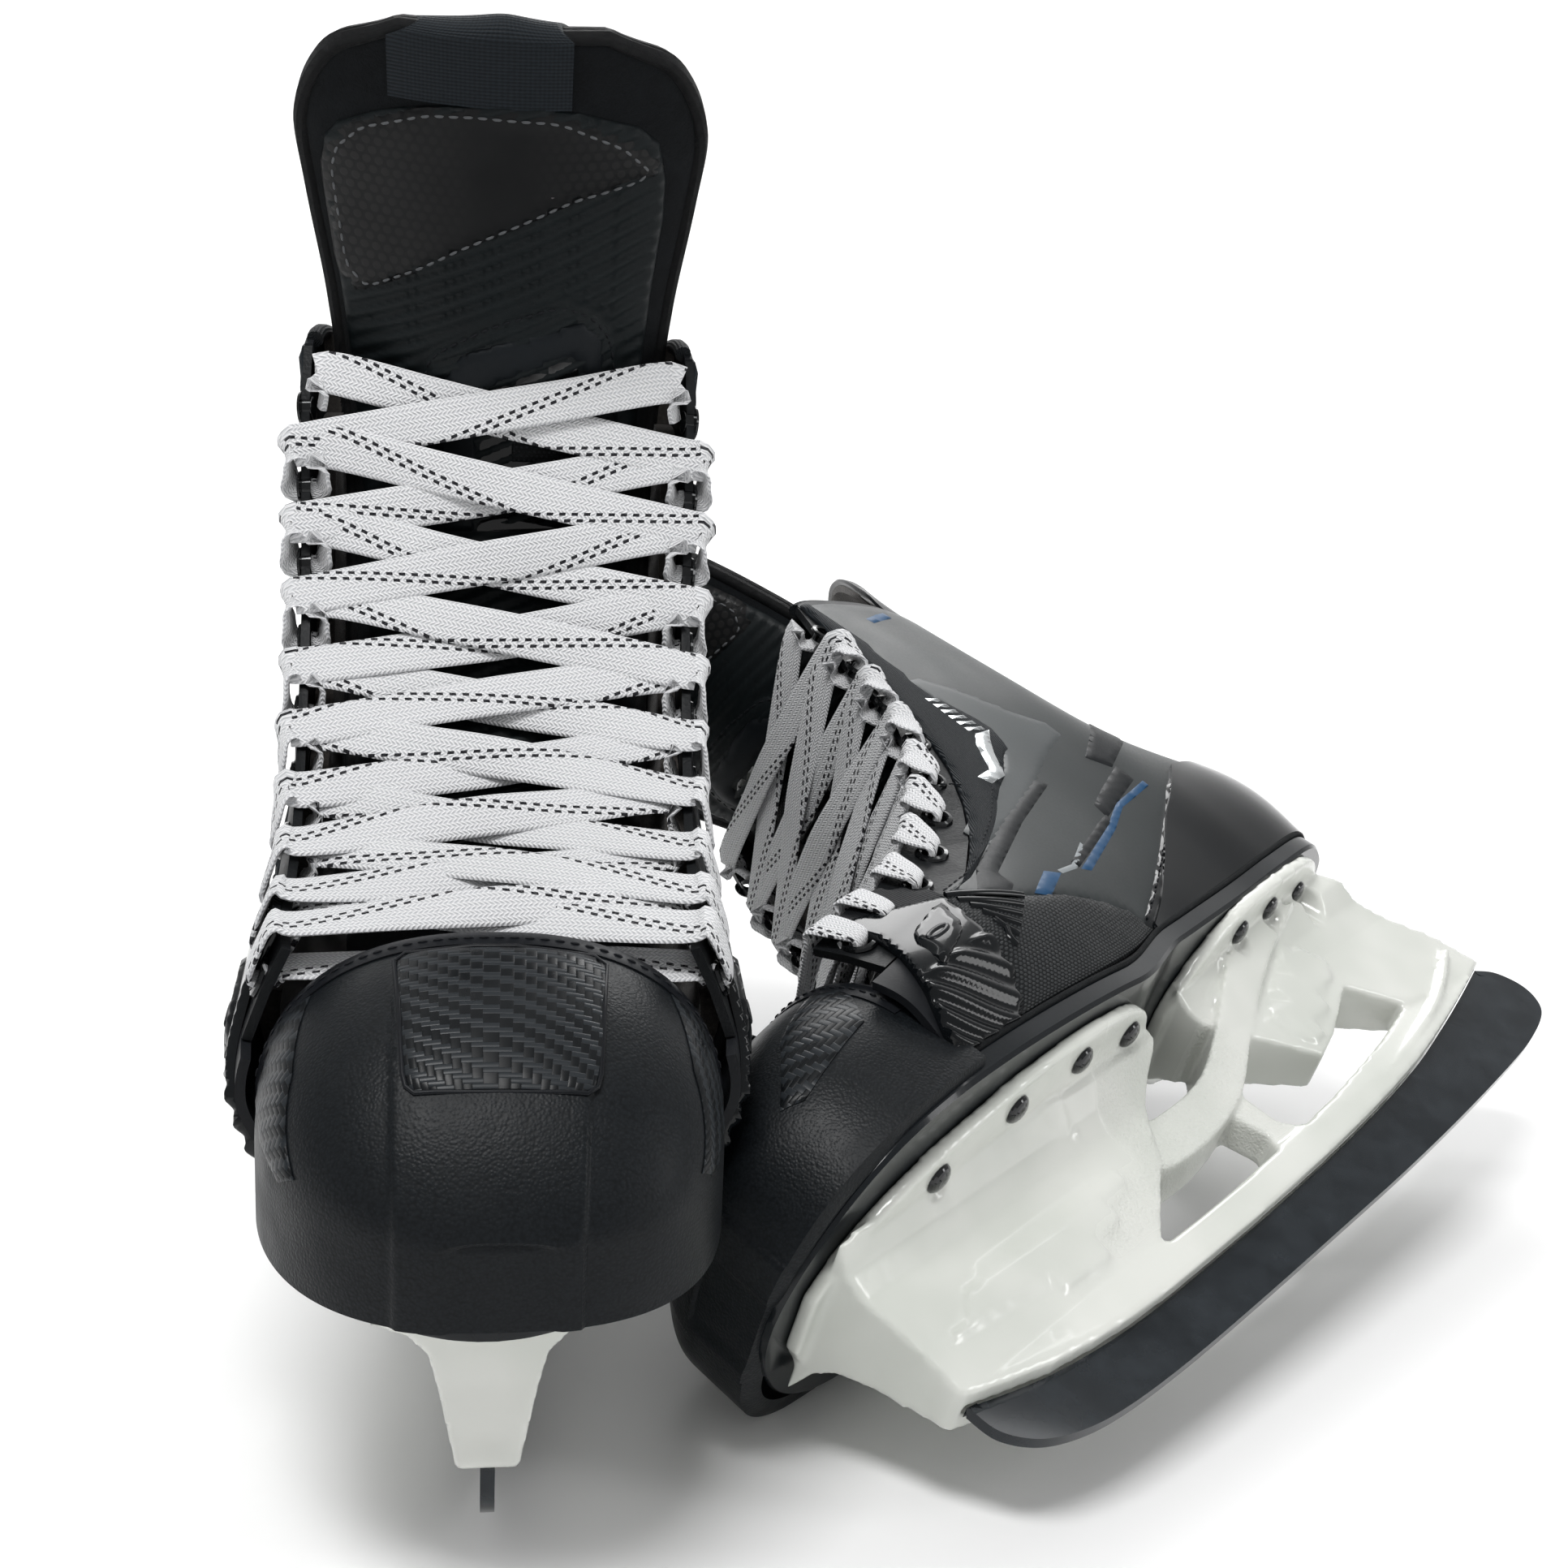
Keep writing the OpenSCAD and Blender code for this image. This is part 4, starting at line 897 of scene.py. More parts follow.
def buildAnkle():
    corners = flatLine(ankleLow + ankleTop())
    bothSides("ankle_cover", ["ankle_panel"], lambda foot: plate(
        "ankle", corners, fromLines(foot), 0.2, upper["panelHigh"], 0.7, 3), looks["ankleCloth"],
        slot="dark_fabric")
    border = flatLine(ankleLow[7:]) + [0, 2.2]
    cross = flatLine([(7.7, 2.9), (7.5, 2.57), (6.72, 2.05)])
    for name, line in (("edge", border), ("cross", cross)):
        bothSides("ankle_stitch_" + name, [], lambda foot: stitches(
            "ankleStitch", line, fromLines(foot), 1.4, 3.0, 2.1, 0.3), looks["thread"])
    mesh = flatLine(meshTop + [(9.55, 0.06), (9.25, 0.7), (9.2, 1.5), (9.12, 2.13)])
    bothSides("mesh_cover", ["vamp_mesh"], lambda foot: plate(
        "mesh", mesh, fromLines(foot), 0.1, upper["meshHigh"], 0.8, 3), looks["pebbleMesh"],
        slot="mesh_fabric")
    bothSides("flap", [], lambda foot: plate("flap", flatLine(flapEdge), fromLines(foot), 0.1, 1.9, 0.8,
                                             2.5),
              looks["flapCloth"])
    wing = flatLine(wingRear + wingFront[::-1])
    bothSides("wing_shell", ["wing"], lambda foot: plate(
        "wing", wing, fromLines(foot), 0.1, 2.2, 1.0, 1.1, wingRibs), looks["glossBlack"],
        slot="gloss_black")
    bothSides("wing_diamond", [], lambda foot: plate(
        "diamond", soften(flatLine(diamond), 1, 0.15), fromLines(foot), 1.5, 3.3, 1.0, 2),
        looks["glossBlack"])
    angle = np.linspace(0, 2 * math.pi, 20, endpoint=False)
    oval = np.stack([9.74 * 22 + 3.4 * np.cos(angle), 1.48 * 32 + 2.0 * np.sin(angle)], 1)
    bothSides("wing_oval", [], lambda foot: tubeOn("oval", oval, fromLines(foot), 3.3, 0.7),
              looks["satinBlack"])
    bothSides("accordion", [], accordion, looks["glossBlack"])


def tubeOn(name, flat, surface, out, radius, closed=True):
    p = surface(flat, np.full(len(flat), out))
    up = unit(surface(flat, np.full(len(flat), out + 1)) - p)
    return tube(name, p, radius, 8, up, 0.7, closed)


def accordion(foot):
    made = []
    for k in range(6):
        a = np.array([9.1 - 0.03 * k, 2.0 - 0.2 * k])
        b = np.array([8.3 + 0.14 * k, 1.22 - 0.09 * k])
        path = flatLine([tuple(b), tuple((a + b) / 2 + [0.03, 0]), tuple(a)])
        made.append(tubeOn("rib", smoothed(path, 5), fromLines(foot), 1.3, 1.1, False))
    return merged("accordion", made)


badge = {"first": (97, 186), "step": (-0.3, -3.2), "short": 5.0, "long": 8.0, "thick": 1.7, "low": 1.4,
         "high": 2.3}
badgeBend = [(90, 168), (98, 168), (104, 163), (112, 152), (121, 150), (119, 146), (109, 148),
             (101, 158), (95, 164)]


def badgeBars(foot):
    made = [plate("bend", badgeBend, fromSide(foot), badge["low"], badge["high"], 0.3, 2)]
    for k in range(6):
        x = badge["first"][0] + badge["step"][0] * k
        z = badge["first"][1] + badge["step"][1] * k
        half = lerp(badge["short"], badge["long"], k / 5) / 2
        h = badge["thick"] / 2
        bar = [(x - half, z - h - 0.6), (x + half, z - h + 0.6), (x + half, z + h + 0.6),
               (x - half, z + h - 0.6)]
        made.append(plate("bar", bar, fromSide(foot), badge["low"], badge["high"], 0.3, 2))
    return merged("badge", made)


def buildBadges():
    for label, foot in (("outer", 1), ("inner", -1)):
        replaced = ["ankle_badges"] if foot == 1 else []
        fit("badge_" + label, badgeBars(foot), looks["badgeMetal"], replaces=replaced,
            slot="badge_silver")


# liner, collar roll, tendon guard
def linerTop(a):
    return np.where(a < 4.6, 2.99, below(a, 17.5))


def buildInside():
    us = np.linspace(-9.5, 9.5, 153)
    liner = patch("liner", us, lambda a: 0.12 + 0 * a, linerTop, 27, -7, -2.4)
    fit("felt_liner", liner, looks["felt"], replaces=["liner"], slot="felt_liner", fill=0.8)
    u = np.linspace(-4.9, 4.9, 99)
    roll = skin(u, np.full(99, 2.99), np.full(99, -2.4))
    roll[:, 2] += 0.5
    fit("collar_roll", tube("roll", roll, 2.2, 10), looks["collarCloth"], fill=0.8)


def guardPoint(u, h, out):
    p = skinPoint(u, 3 + 0 * u)
    n = skinNormal(u, 2.95 + 0 * u)
    n[..., 2] = 0
    n = unit(n)
    rise = guard["high"] * (1 - 0.8 * (np.abs(u) / guard["half"]) ** 3)
    at = p + n * (out + 1.5 * h * h)[..., None]
    at[..., 2] += guard["gap"] + rise * h
    return at


def buildGuard():
    u, h = np.meshgrid(np.linspace(-1, 1, 61) * guard["half"], np.linspace(0, 1, 31), indexing="ij")
    edge = np.minimum((guard["half"] - np.abs(u)) * 22, (1 - h) * 60)
    bevel = 1.1 * (1 - ease(edge / 3.5))
    outer = guardPoint(u, h, -bevel)
    inner = guardPoint(u, h, -guard["thick"] + bevel * 0.8)
    fit("guard_shell", gridShell("guard", outer, inner), looks["satinBlack"], body="guard",
        replaces=["tendon_guard"], slot="quarter_composite")
    u, h = np.meshgrid(np.linspace(-0.93, 0.93, 41) * guard["half"], np.linspace(0.03, 0.96, 25),
                       indexing="ij")
    edge = np.minimum((guard["half"] * 0.93 - np.abs(u)) * 22, (0.96 - h) * 60)
    rounding = np.sqrt(1 - (1 - np.clip(edge / 3, 0, 1)) ** 2)
    felt = gridShell("guardFelt", guardPoint(u, h, -2.8 + 0 * u), guardPoint(u, h, -3.3 - 1.5 * rounding))
    fit("guard_felt", felt, looks["felt"], body="guard", fill=0.7)


# toe cap
def capHeights(t, arc):
    y = capPoint(t, arc, 0)[..., 1]
    half = toeCap["panelHalf"] - 3.0 * t
    side = ease((half - np.abs(y)) / 1.2)
    ends = ease((t - 0.12) * 60) * ease((0.94 - t) * 40)
    return toeCap["panelHigh"] * side * ends


def capRow(t, arcs, grow):
    top = capPoint(t, arcs, grow + capHeights(t, arcs))
    foot = soleHeight(top[0, 0]) + 1.2
    walls = []
    for end in (top[0], top[-1]):
        wall = [[end[0], end[1], z] for z in np.linspace(foot + 1.5, end[2] - 1, 5)]
        walls.append([[end[0] - 5 * max(t, 0.05) ** 4, end[1] * 0.9, foot]] + wall)
    left = walls[0]
    right = walls[1][::-1]
    return np.vstack([left, top, right])


def capFlat(points):
    x, y = np.array(points, float).T
    s = np.clip((x - toeCap["rear"]) / toeCap["long"], 0, 1)
    t = np.degrees(np.arcsin(s)) / 90
    w = 49.5 * np.maximum(1 - s ** 2.3, 1e-6) ** (1 / 2.3)
    c = np.sign(y) * np.clip(np.abs(y) / w, 0, 1) ** 1.2
    return np.stack([0.83 * (90 - np.degrees(np.arccos(c))), 100 * t], 1)


def buildCap():
    arcs = np.linspace(0, 180, 161)
    ts = np.linspace(0, 1, 96)
    outer = np.array([capRow(t, arcs, 0) for t in ts])
    inner = np.array([capRow(min(t, 0.97), arcs, -toeCap["thick"]) for t in ts])
    fit("toe_shell", gridShell("toe", outer, inner), looks["capPebble"], replaces=["toe_cap"],
        slot="toe_plastic")
    inlay = soften(capFlat([(232, -23), (232, 0), (232, 20), (250, 18), (266, 16.4), (268, 14),
                            (268, -16),
                            (266, -18.6), (250, -21)]), 1, 0.14)
    fit("toe_weave", plate("weave", inlay, onCap, 0.5, 1.35, 0.5, 2), looks["carbonTwill"],
        replaces=["toe_inlay"], slot="carbon_twill")
    fit("toe_weave_rim", tubeOn("rim", inlay, onCap, 1.2, 0.5), looks["capSmooth"])
    for label, sign in (("outer", 1), ("inner", -1)):
        side = np.array([(sign * 0.83 * (90 - a), 100 * t) for a, t in
                         ((30, 0.05), (44, 0.08), (34, 0.3), (12, 0.5), (6, 0.44), (12, 0.15))])
        fit("toe_side_" + label, plate("side", side, onCap, 0.1, 0.6, 0.4, 2.5), looks["sideTwill"])
    rear = [(0.83 * (90 - a), 1.0) for a in range(8, 173, 4)] + [(0.83 * (90 - a),
                                                                  7.5) for a in range(172, 7, -4)]
    fit("toe_band", plate("band", rear, onCap, 0.1, 0.9, 0.5, 3), looks["capSmooth"])
    row = [(0.83 * (90 - a), 5.5) for a in range(12, 169, 2)]
    fit("toe_stitch", stitches("toeStitch", row, onCap, 0.95, 3.2, 2.2, 0.3), looks["thread"])


# tongue
tongueRim = [(1.5, -0.8), (3, -0.86), (5, -0.88), (7, -0.88), (8.3, -0.86), (9.2, -0.78), (9.65, -0.3),
             (9.65, 0.2), (9.4, 0.6), (8.95, 0.88), (8.2, 0.94), (7, 0.94), (5, 0.9), (3, 0.86),
             (1.5, 0.8)]
panelEdge = [(8.40, 0.93), (8.75, 0.88), (9.15, 0.75), (9.53, 0.42), (9.6, 0.14), (9.55, -0.33),
             (9.08, -0.67),
             (8.68, -0.82), (8.55, -0.77), (8.35, -0.4), (7.88, 0.06), (7.7, 0.25), (7.45, 0.49),
             (7.15, 0.84),
             (7.33, 0.95)]
slash = [(7.8, 0.36), (7.9, 0.33), (8.25, -0.04), (8.75, -0.62), (8.28, -0.13)]
insertCover = [(5.0, 0.47), (5.78, 0.44), (6.1, 0.5), (6.53, 0.5), (6.73, 0.4), (7.05, 0.07),
               (7.28, -0.35),
               (7.12, -0.57), (6.85, -0.7), (6.3, -0.76), (5.75, -0.77), (5.0, -0.77)]
frameOut = [(5, 0.40), (6.08, 0.38), (6.4, 0.37), (6.73, 0.23), (7.08, -0.47), (6.88, -0.61),
            (6.5, -0.65),
            (5, -0.66)]
frameIn = [(5, 0.15), (6.05, 0.15), (6.3, 0.1), (6.45, -0.05), (6.72, -0.42), (6.6, -0.5), (6.2, -0.5),
           (5, -0.52)]
dotWedge = [(6.12, -0.07), (6.28, -0.26), (6.33, -0.63), (5.88, -0.64), (5.6, -0.64), (5.6, -0.07)]


def ribHeight(flat):
    run = flat[:, 1] + tongue["ribLean"] * flat[:, 0]
    wave = (0.5 + 0.5 * np.cos(2 * math.pi * run / tongue["ribPitch"])) ** 0.7
    clear = edgeDistance(flat, tongueFlat(insertCover))
    return tongue["ribHigh"] * wave * ease(clear / 3)


def tongueGrid(s, q, front, back):
    sideways = (1 - np.abs(q)) * tongueWidth(s)
    ahead = (12 - s) * 8
    e = np.clip(np.minimum(sideways, ahead) / tongue["edge"], 0, 1)
    drop = 3.6 * (1 - np.sqrt(1 - (1 - e) ** 2))
    return tonguePoint(s, q, front + drop), tonguePoint(s, q, back - drop)


def buildTongue():
    s, q = np.meshgrid(np.linspace(0, 12, 181), np.linspace(-1, 1, 61), indexing="ij")
    outer, inner = tongueGrid(s, q, 0, tongue["thick"])
    fit("tongue_body", gridShell("tongueBody", outer, inner), looks["velour"],
        replaces=["tongue_lower", "tongue_upper"], slot="tongue_fabric", bend="tongue",
        fill=tongue["fill"])
    rim = soften(tongueFlat(tongueRim), 1, 0.2)
    fit("tongue_ribs", plate("ribs", rim, onTongue, 0.1, 0.9, 1.0, 1.05, ribHeight), looks["tongueCover"],
        bend="tongue", fill=0.7)
    panel = soften(tongueFlat(panelEdge), 1, 0.12)
    fit("tongue_cover", plate("panel", panel, onTongue, 0.6, 2.4, 0.8, 3), looks["tonguePrint"],
        replaces=["tongue_panel"], slot="tongue_leather", bend="tongue")
    centre = panel.mean(0)
    inset = centre + (panel - centre) * 0.92
    fit("tongue_stitch", stitches("panelStitch", inset, onTongue, 2.35, 3.4, 2.3, 0.34, True),
        looks["paleThread"], bend="tongue")
    fit("tongue_slash", plate("slash", tongueFlat(slash), onTongue, 2.1, 2.56, 0.15, 4),
        looks["slashMetal"],
        bend="tongue")
    cover = soften(tongueFlat(insertCover), 1, 0.2)
    fit("insert_cover", plate("cover", cover, onTongue, 0.3, 1.5, 1.2, 3), looks["tongueCover"],
        bend="tongue",
        replaces=["tongue_insert"], slot="insert_gloss")
    middle = cover.mean(0)
    fit("insert_stitch", stitches("insertStitch", middle + (cover - middle) * 0.95, onTongue, 1.45, 3,
                                  2.1, 0.3,
                                  True), looks["thread"], bend="tongue")
    ring = np.vstack([tongueFlat(frameOut), tongueFlat(frameIn)[::-1]])
    fit("insert_frame", plate("frame", soften(ring, 1, 0.12), onTongue, 0.6, 2.6, 0.8, 2.5),
        looks["insertFrame"], bend="tongue")
    fit("insert_glass", plate("glass", tongueFlat(frameIn), onTongue, 0.8, 1.75, 0.2, 3),
        looks["insertGloss"],
        bend="tongue")
    fit("insert_dots", plate("dots", tongueFlat(dotWedge), onTongue, 1.2, 2.1, 0.4, 3),
        looks["insertDots"],
        bend="tongue")


tabRoute = [(9.62, -1.2), (10.6, -1.6), (11.4, -2.4), (12.0, -3.4), (12.5, -1.5), (12.75, 3.0),
            (12.75, 8.5),
            (12.4, 13.0), (12.0, 14.5), (11.2, 14.5)]
tabInner = [(9.62, 0.2), (10.6, 0.1), (11.4, -0.6), (11.95, -1.8), (12.3, -0.2), (12.55, 3.4),
            (12.55, 8.2),
            (12.2, 11.6), (11.9, 12.8), (11.2, 12.8)]


# Beyond the tongue's top edge, s goes straight on by 6 mm a step.
def tabSheet(route):
    r = smoothed(route, 6)
    y = np.linspace(-16, 27, 40)
    s = np.repeat(np.minimum(r[:, :1], 12), 40, 1)
    over = np.maximum(r[:, :1] - 12, 0) * 6
    q = np.clip(y[None] / tongueWidth(s), -0.97, 0.97)
    depth = np.repeat(r[:, 1:], 40, 1)
    up = unit(tonguePoint(12 + 0 * s, q, depth) - tonguePoint(11.7 + 0 * s, q, depth))
    return np.transpose(tonguePoint(s, q, depth) + up * over[..., None], (1, 0, 2))


def buildTongueEdge():
    fit("tongue_tape", gridShell("tab", tabSheet(tabRoute), tabSheet(tabInner)), looks["tabTape"],
        replaces=["tongue_tab"], slot="woven_tab", bend="tongue")
    s1 = np.linspace(3, 12, 90)
    qTop = np.linspace(-1, 1, 40)[1:-1]
    s = np.concatenate([s1, np.full(38, 12), s1[::-1]])
    q = np.concatenate([np.full(90, -1), qTop, np.full(90, 1)])
    for name, depth in (("front", 3.4), ("back", 7.2)):
        path = tonguePoint(s, q, np.full(len(s), depth))
        fit("binding_" + name, tube("binding", spaced(path, 2), 2.1, 8), looks["ribBinding"],
            bend="tongue")


# laces
def eyeletPlace(k, sign):
    u = lerp(eyelets["first"], eyelets["last"], k / (eyelets["count"] - 1))
    return u * sign, float(below(u, eyelets["depth"]))


def laceMid(k, sign, out, up):
    u = eyeletPlace(k, sign)[0]
    top = skinPoint(u, 3.0)
    return top + skinNormal(u, 2.9) * out + unit(top - skinPoint(u, 2.9)) * up


def laceRun(k, sign, to, lift):
    u, v = eyeletPlace(k, sign)
    w, z = eyeletPlace(to, -sign)
    p = skinPoint(u, v)
    n = skinNormal(u, v)
    q = skinPoint(w, z)
    m = skinNormal(w, z)
    over = laceMid(k, sign, -2.6, 3 + lift * 0.3)
    under = laceMid(to, -sign, -6.5, 1.9 + lift * 0.4)
    up = unit(np.cross(over - under, skinPoint(u + sign * 0.1, 3.0) - skinPoint(u, 3.0)))
    bump = (-1 if up[2] < 0 else 1) * lift * up + [2.4 if k < 5 else 0, 0, 0]
    return [p - n, p + n * 2.3, laceMid(k, sign, 3.1, -3.5), laceMid(k, sign, 2.4, 2.2), over,
            lerp(over, under, 0.3) + bump * 0.7, lerp(over, under, 0.5) + bump,
            lerp(over, under, 0.7) + bump * 0.7, under, laceMid(to, -sign, -5.8, -2.8), q - m * 4.6]


def eyeletWay(k, sign):
    u = eyeletPlace(k, sign)[0]
    return unit(skinPoint(u + 0.1 * sign, 3.0) - skinPoint(u - 0.1 * sign, 3.0))


def laceWays(k, sign, to):
    a = eyeletWay(k, sign)
    b = eyeletWay(to, -sign)
    return [a] * 5 + [lerp(a, b, 0.3), lerp(a, b, 0.5), lerp(a, b, 0.7)] + [b] * 3


tongueFace = np.meshgrid(np.linspace(0.2, 11.5, 200), np.linspace(-1, 1, 61), indexing="ij")
facePoints = tonguePoint(tongueFace[0], tongueFace[1], 0).reshape(-1, 3)
faceOut = unit(facePoints - tonguePoint(tongueFace[0], tongueFace[1], 1).reshape(-1, 3))


def keptClear(points, clear):
    result = points.copy()
    for i, p in enumerate(points):
        if abs(p[1]) > 40:
            continue
        k = np.argmin(((facePoints - p) ** 2).sum(1))
        gap = (p - facePoints[k]) @ faceOut[k]
        if -8 < gap < clear:
            result[i] = p + faceOut[k] * (clear - gap)
    return result


def laceSolid(name, points, ways, narrow, thick):
    per = 5
    path = keptClear(smoothLine(points, per), laceCut["clear"])
    way = smoothLine(ways, per)
    slim = smoothLine(np.array(narrow)[:, None], per)[:, 0]
    fat = smoothLine(np.array(thick)[:, None], per)[:, 0]
    way = unit(way - [0, 0, 1] * (laceCut["upright"] * np.clip(1 - np.abs(path[:, 1:2]) / 48, 0, 1)))
    d = unit(np.gradient(path, axis=0))
    run = np.concatenate([[0], np.cumsum(np.linalg.norm(np.diff(path, axis=0), axis=1))])
    twist = np.radians(7) * np.sin(run / 17.0)
    side = unit(way - d * (way * d).sum(1, keepdims=True))
    up = np.cross(d, side)
    sideTurned = side * np.cos(twist)[:, None] + up * np.sin(twist)[:, None]
    upTurned = np.cross(d, sideTurned)
    a = np.linspace(0, 2 * math.pi, 16, endpoint=False)
    cx = np.sign(np.cos(a)) * np.abs(np.cos(a)) ** 0.8 * laceCut["width"] / 2
    cy = np.sign(np.sin(a)) * np.abs(np.sin(a)) ** 0.55 * laceCut["thick"] / 2
    rings = (path[:, None] + sideTurned[:, None] * (cx[None] * slim[:, None])[..., None]
             + upTurned[:, None] * (cy[None] * fat[:, None])[..., None])
    flat = np.stack(np.broadcast_arrays(run[:, None], cx[None]), -1)
    return ringLoft(name, rings, flat, False, 60), run[-1]


def laceHalf(sign, lift):
    points = []
    ways = []
    last = eyelets["count"] - 1
    for k in range(last, 0, -1):
        side = sign if (last - k) % 2 == 0 else -sign
        points += laceRun(k, side, k - 1, lift)
        ways += laceWays(k, side, k - 1)
    runs = last
    return laceSolid("laceHalf", np.array(points), np.array(ways),
                     [0.5, 0.62, 0.92, 1, 1, 1, 1, 1, 1, 0.85, 0.55] * runs,
                     [1.5, 1.2, 1, 1, 1, 1, 1, 1, 1, 1, 1.4] * runs)


def laceBar():
    k = eyelets["count"] - 1
    u, v = eyeletPlace(k, 1)
    a = skinPoint(u, v)
    n = skinNormal(u, v)
    right = [a - n * 3.4, a - n * 5.5 + [0, 0, 3], a - n * 9 + [0, 0, 5.5]]
    points = right + [p * [1, -1, 1] for p in right[::-1]]
    way = eyeletWay(k, 1) * [1, 0, 1]
    return laceSolid("laceBar", np.array(points), np.array([unit(way)] * 6), [0.5, 0.8, 1, 1, 0.8, 0.5],
                     [1] * 6)


def buildLaces():
    first, a = laceHalf(1, 1.1)
    second, b = laceHalf(-1, -1.1)
    bar, c = laceBar()
    fit("lace_knit", merged("lace", [first, second, bar]), looks["laceKnit"], replaces=["lace"],
        slot="lace_white")
    print(f"lace in its route {a + b + c:.0f} mm on each skate")


# holder and runner
def towerHalf(z):
    return np.interp(z, [16, 26, 42, 54, 59, 63], [4.6, 6.6, 9.5, 12, 16, 24])


def heelHalf(z):
    return np.interp(z, [28, 38, 50, 62, 70, 77], [5, 6.4, 8.5, 10.5, 13, 19])


def onTower(foot, half):
    return lambda flat, out: np.stack([flat[:, 0], foot * (half(flat[:, 1]) + out), flat[:, 1]], 1)


reliefs = [([(261, 36), (236, 48), (174, 48), (170, 46), (201, 29), (206, 27)], towerHalf, 1.5),
           ([(195, 70), (187, 68), (178, 54), (197, 63)], towerHalf, 1.4),
           ([(76, 79), (59, 70), (79, 60), (101, 66)], heelHalf, 1.6),
           ([(46, 74), (33, 58), (71, 40), (83, 55)], heelHalf, 1.6)]


def buildHolder():
    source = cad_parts["right_holder"].data.copy()
    source.transform(placing["right"].inverted())
    parts = [source]
    for corners, half, high in reliefs:
        for foot in (1, -1):
            parts.append(plate("relief", corners, onTower(foot, half), -1.5, high, 0.9, 6))
    ridge = smoothed([(-15, 41), (20, 29), (96, 20), (199, 19), (234, 24)], 8)
    for foot in (1, -1):
        line = [(x, foot * (towerHalf(z) - 0.6), z) for x, z in ridge]
        parts.append(tube("ridge", line, 1.3, 8))
    whole = bpy.data.objects.new("holderWork", merged("holderWork", parts))
    bpy.context.scene.collection.objects.link(whole)
    remesh = whole.modifiers.new("remesh", "REMESH")
    remesh.mode = "VOXEL"
    remesh.voxel_size = holderLook["voxel"]
    smooth = whole.modifiers.new("smooth", "SMOOTH")
    smooth.factor = 0.5
    smooth.iterations = holderLook["soften"]
    evaluated = whole.evaluated_get(bpy.context.evaluated_depsgraph_get())
    mesh = bpy.data.meshes.new_from_object(evaluated)
    bpy.data.objects.remove(whole)
    mesh.shade_smooth()
    at = np.zeros(len(mesh.vertices) * 3)
    mesh.vertices.foreach_get("co", at)
    x, y, z = at.reshape(-1, 3).T
    grain = ease((x - 98) / 6) * ease((203 - x) / 6) * ease((z - 27) / 4) * ease((67 - z) / 3)
    grain *= 1 - ease((x - 168) / 3) * ease((np.abs(y) - 9) / 1.5)
    layer = mesh.attributes.new("grain", "FLOAT", "POINT")
    layer.data.foreach_set("value", grain)
    fit("holder_body", mesh, looks["holderPlastic"], replaces=["holder"], slot="holder_white")


def buildRunner():
    low = smoothLine(steelLine, 10)
    d = unit(np.gradient(low, axis=0))
    inward = np.stack([-d[:, 1], d[:, 0]], 1)
    bandLine = low + inward * runnerLook["ground"]
    top = smoothLine(railLow, 10) - [0, 0.3]
    share = np.linspace(0, 1, len(low))
    topRun = np.linspace(0, 1, len(top))
    topLine = np.stack([np.interp(share, topRun, top[:, k]) for k in range(2)], 1)
    h = runnerLook["half"]
    rings = []
    flat = []
    run = np.concatenate([[0], np.cumsum(np.linalg.norm(np.diff(low, axis=0), axis=1))])
    for i in range(len(low)):
        b, c, t = low[i], bandLine[i], topLine[i]
        rings.append([[t[0], h, t[1]], [c[0], h, c[1]], [b[0], h, b[1]], [b[0], -h, b[1]],
                      [c[0], -h, c[1]],
                      [t[0], -h, t[1]]])
        flat.append([[run[i], 20], [run[i], 3], [run[i], 0], [run[i], -3], [run[i], -6], [run[i], -23]])
    mesh = ringLoft("runner", rings, flat, False, 25, [0, 1, 1, 1, 0, 0])
    fit("runner_steel", mesh, [looks["coatedSteel"], looks["groundSteel"]], replaces=["runner"],
        slot="runner_black")


# sole trim and the CAD pieces that keep their own shape
def buildSole():
    rings = []
    for x, w in smoothLine(soleOutline, 8):
        z = soleHeight(x)
        half = [(w - 0.8, 7), (w, 6), (w, 1), (w - 1.0, 0)]
        rings.append([[x, y, z + h] for y, h in half] + [[x, -y, z + h] for y, h in half[::-1]])
    fit("sole_plate", ringLoft("sole", rings, None, False, 30), looks["soleGloss"], replaces=["outsole"],
        slot="sole_composite")
    p = smoothLine(soleOutline, 6)
    line = [(x, w + 0.3, soleHeight(x) + 6.6) for x, w in p if x < 226]
    path = [(x, -y, z) for x, y, z in line[::-1]] + line
    fit("glue_line", tube("glue", spaced(np.array(path), 1.5), 0.8, 6), looks["glueLine"])


keptLooks = {"facings": "facingSkin", "footbed": "insoleFoam", "eyelets": "eyeletGloss",
             "lace_locks": "lockGrey", "rivets": "rivetGloss",
             "runner_bolts": "boltSteel"}


def paintKept():
    for side in ("right", "left"):
        for part, look in keptLooks.items():
            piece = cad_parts[f"{side}_{part}"]
            piece.data.materials.clear()
            piece.data.materials.append(looks[look])


for stage in (buildUpper, buildQuarter, buildAnkle, buildBadges, buildInside, buildGuard, buildCap,
              buildTongue,
              buildTongueEdge, buildLaces, buildHolder, buildRunner, buildSole, paintKept):
    stage()
    print(stage.__name__, "done")


# floor, lights and camera
studio = {"floor": (0.9, 0.9, 0.9), "world": 0.42, "lens": 45.56, "position": (1.2, -499.5, 261.4),
          "azimuth": 8.356, "elevation": 13.86, "roll": 2.665}


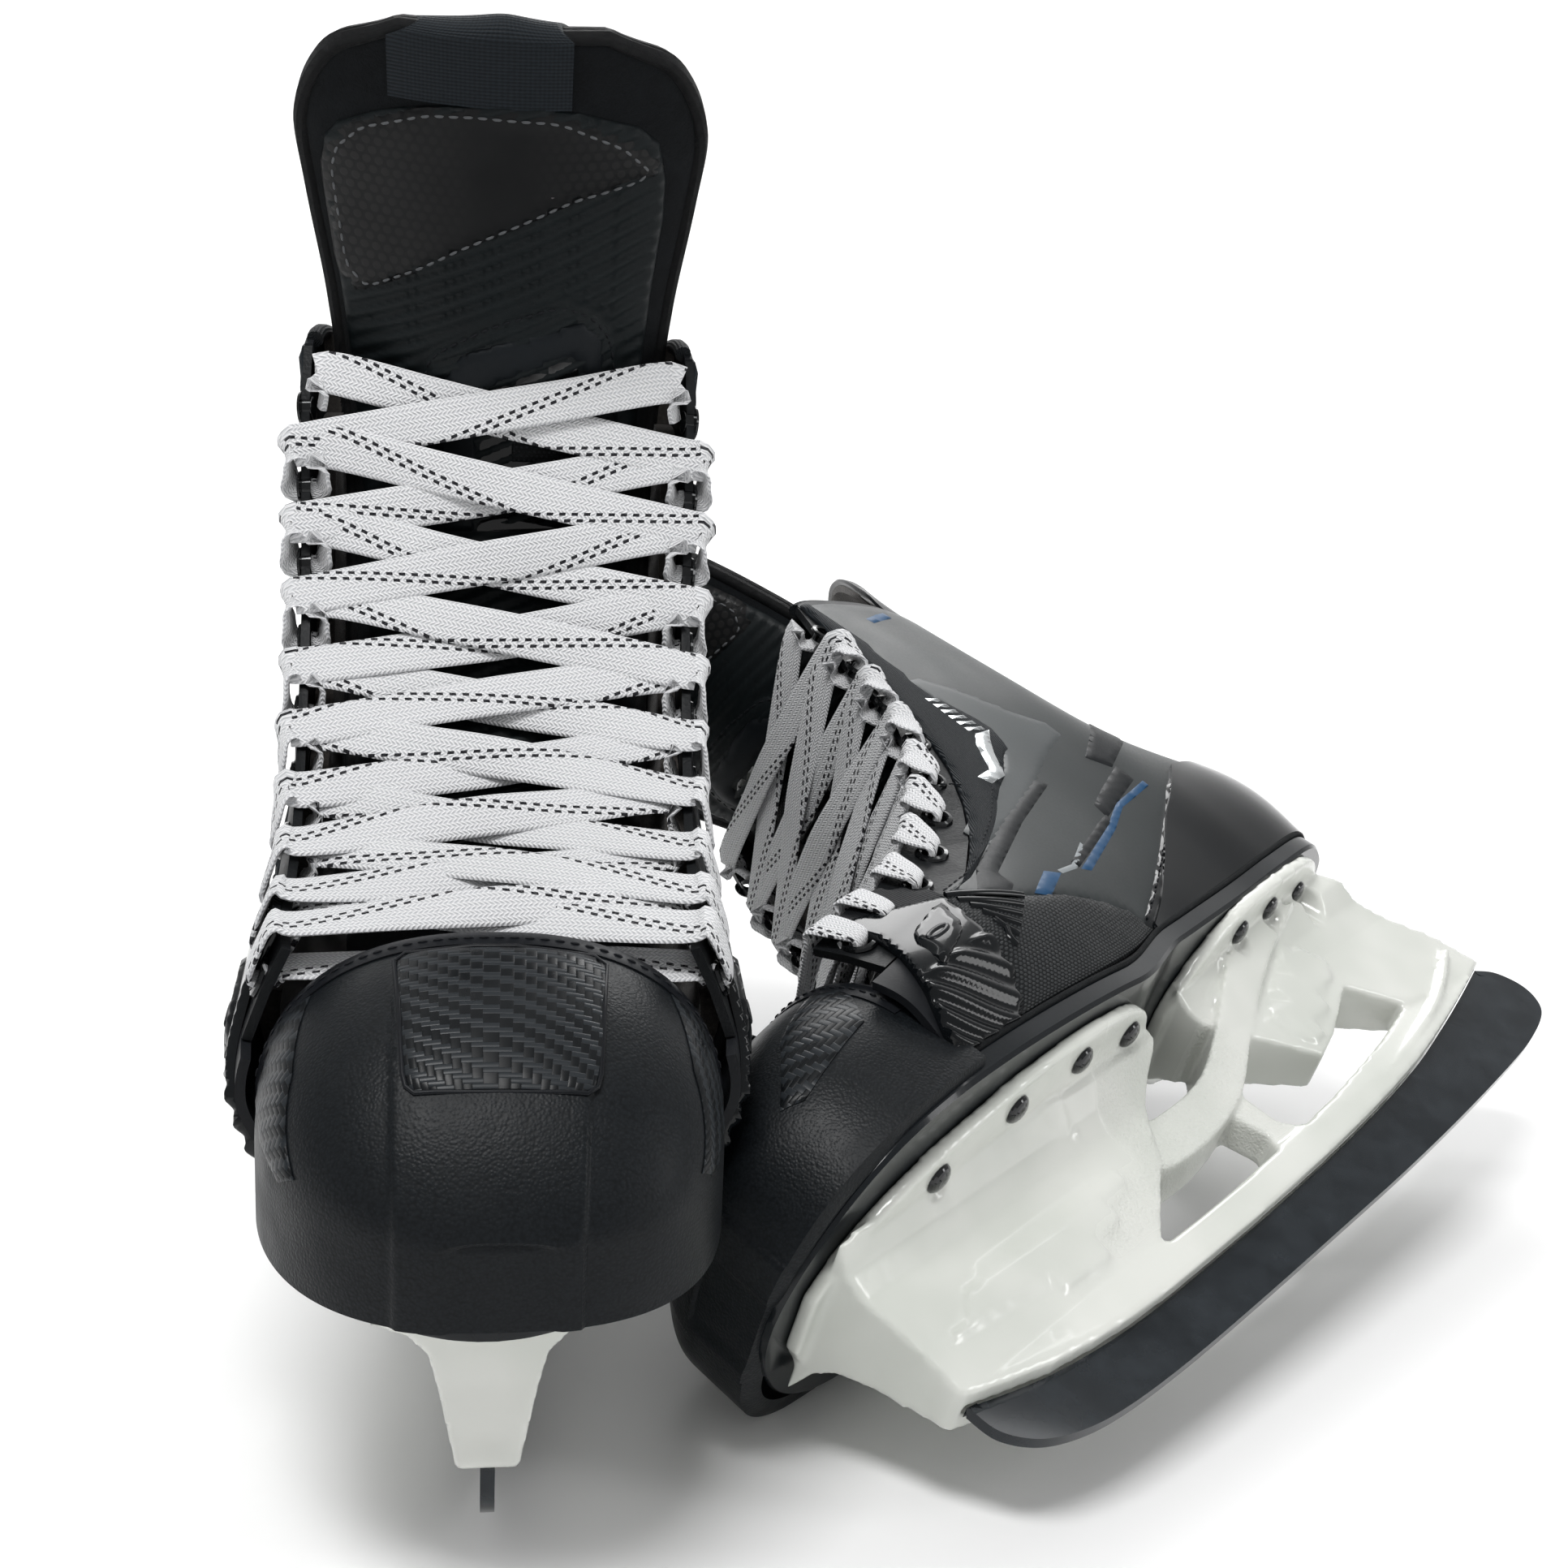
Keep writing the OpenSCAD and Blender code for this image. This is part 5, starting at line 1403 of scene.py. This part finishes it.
# A paper sweep: flat under the skates, curving up behind them.
def addFloor():
    bend = [(1.6 + 1.2 * math.sin(a), 1.2 - 1.2 * math.cos(a)) for a in np.linspace(0, math.pi / 2, 25)]
    profile = [(-4, 0)] + bend + [(2.8, 5)]
    points = [(x, y, z - 0.0006) for y, z in profile for x in (-5, 5)]
    faces = [[2 * i, 2 * i + 1, 2 * i + 3, 2 * i + 2] for i in range(len(profile) - 1)]
    floor = bpy.data.objects.new("studio_floor", meshFrom("studio_floor", points, faces))
    bpy.context.scene.collection.objects.link(floor)
    mat, tree, shader = startMaterial("floorPaper", studio["floor"], 0.9, specular=0.1)
    raised(tree, shader, noise(tree, 3), 0.02)
    floor.data.materials.append(mat)


def addLight(name, place, target, size, power):
    lamp = bpy.data.lights.new(name, "AREA")
    lamp.shape = "RECTANGLE"
    lamp.size = size[0]
    lamp.size_y = size[1]
    lamp.energy = power
    holder = bpy.data.objects.new(name, lamp)
    holder.location = place
    holder.rotation_euler = (Vector(target) - Vector(place)).to_track_quat("-Z", "Y").to_euler()
    bpy.context.scene.collection.objects.link(holder)


def addCamera():
    az, el, roll = [math.radians(studio[k]) for k in ("azimuth", "elevation", "roll")]
    ahead = Vector((math.sin(az) * math.cos(el), math.cos(az) * math.cos(el), -math.sin(el)))
    right = Vector((math.cos(az), -math.sin(az), 0))
    up = right.cross(ahead)
    rightRolled = right * math.cos(roll) + up * math.sin(roll)
    upRolled = up * math.cos(roll) - right * math.sin(roll)
    data = bpy.data.cameras.new("camera")
    data.lens = studio["lens"]
    data.clip_start = 0.01
    camera = bpy.data.objects.new("camera", data)
    turn = Matrix((rightRolled, upRolled, -ahead)).transposed()
    base = Vector(worldPoint("right", (midX, 0, 0)))
    camera.matrix_world = Matrix.Translation(base + Vector(studio["position"]) / 1000) @ turn.to_4x4()
    bpy.context.scene.collection.objects.link(camera)
    bpy.context.scene.camera = camera


addFloor()
addLight("keyLight", (-0.35, -0.5, 1.25), (-0.05, 0, 0.1), (0.6, 0.3), 11)
addLight("sideLight", (1.3, -0.5, 0.7), (0.05, 0, 0.1), (0.3, 0.8), 4.5)
addLight("backLight", (0.1, 1.2, 1.1), (0, 0, 0.1), (1.2, 0.5), 10)
addLight("wallLight", (0, 0.9, 2.4), (0, 3.2, 1.2), (3.5, 1.0), 70)
world = bpy.data.worlds.new("studioWorld")
world.use_nodes = True
world.node_tree.nodes["Background"].inputs[0].default_value = (1, 1, 1, 1)
world.node_tree.nodes["Background"].inputs[1].default_value = studio["world"]
bpy.context.scene.world = world
bpy.context.scene.view_settings.view_transform = "Standard"
addCamera()
print("studio ready")
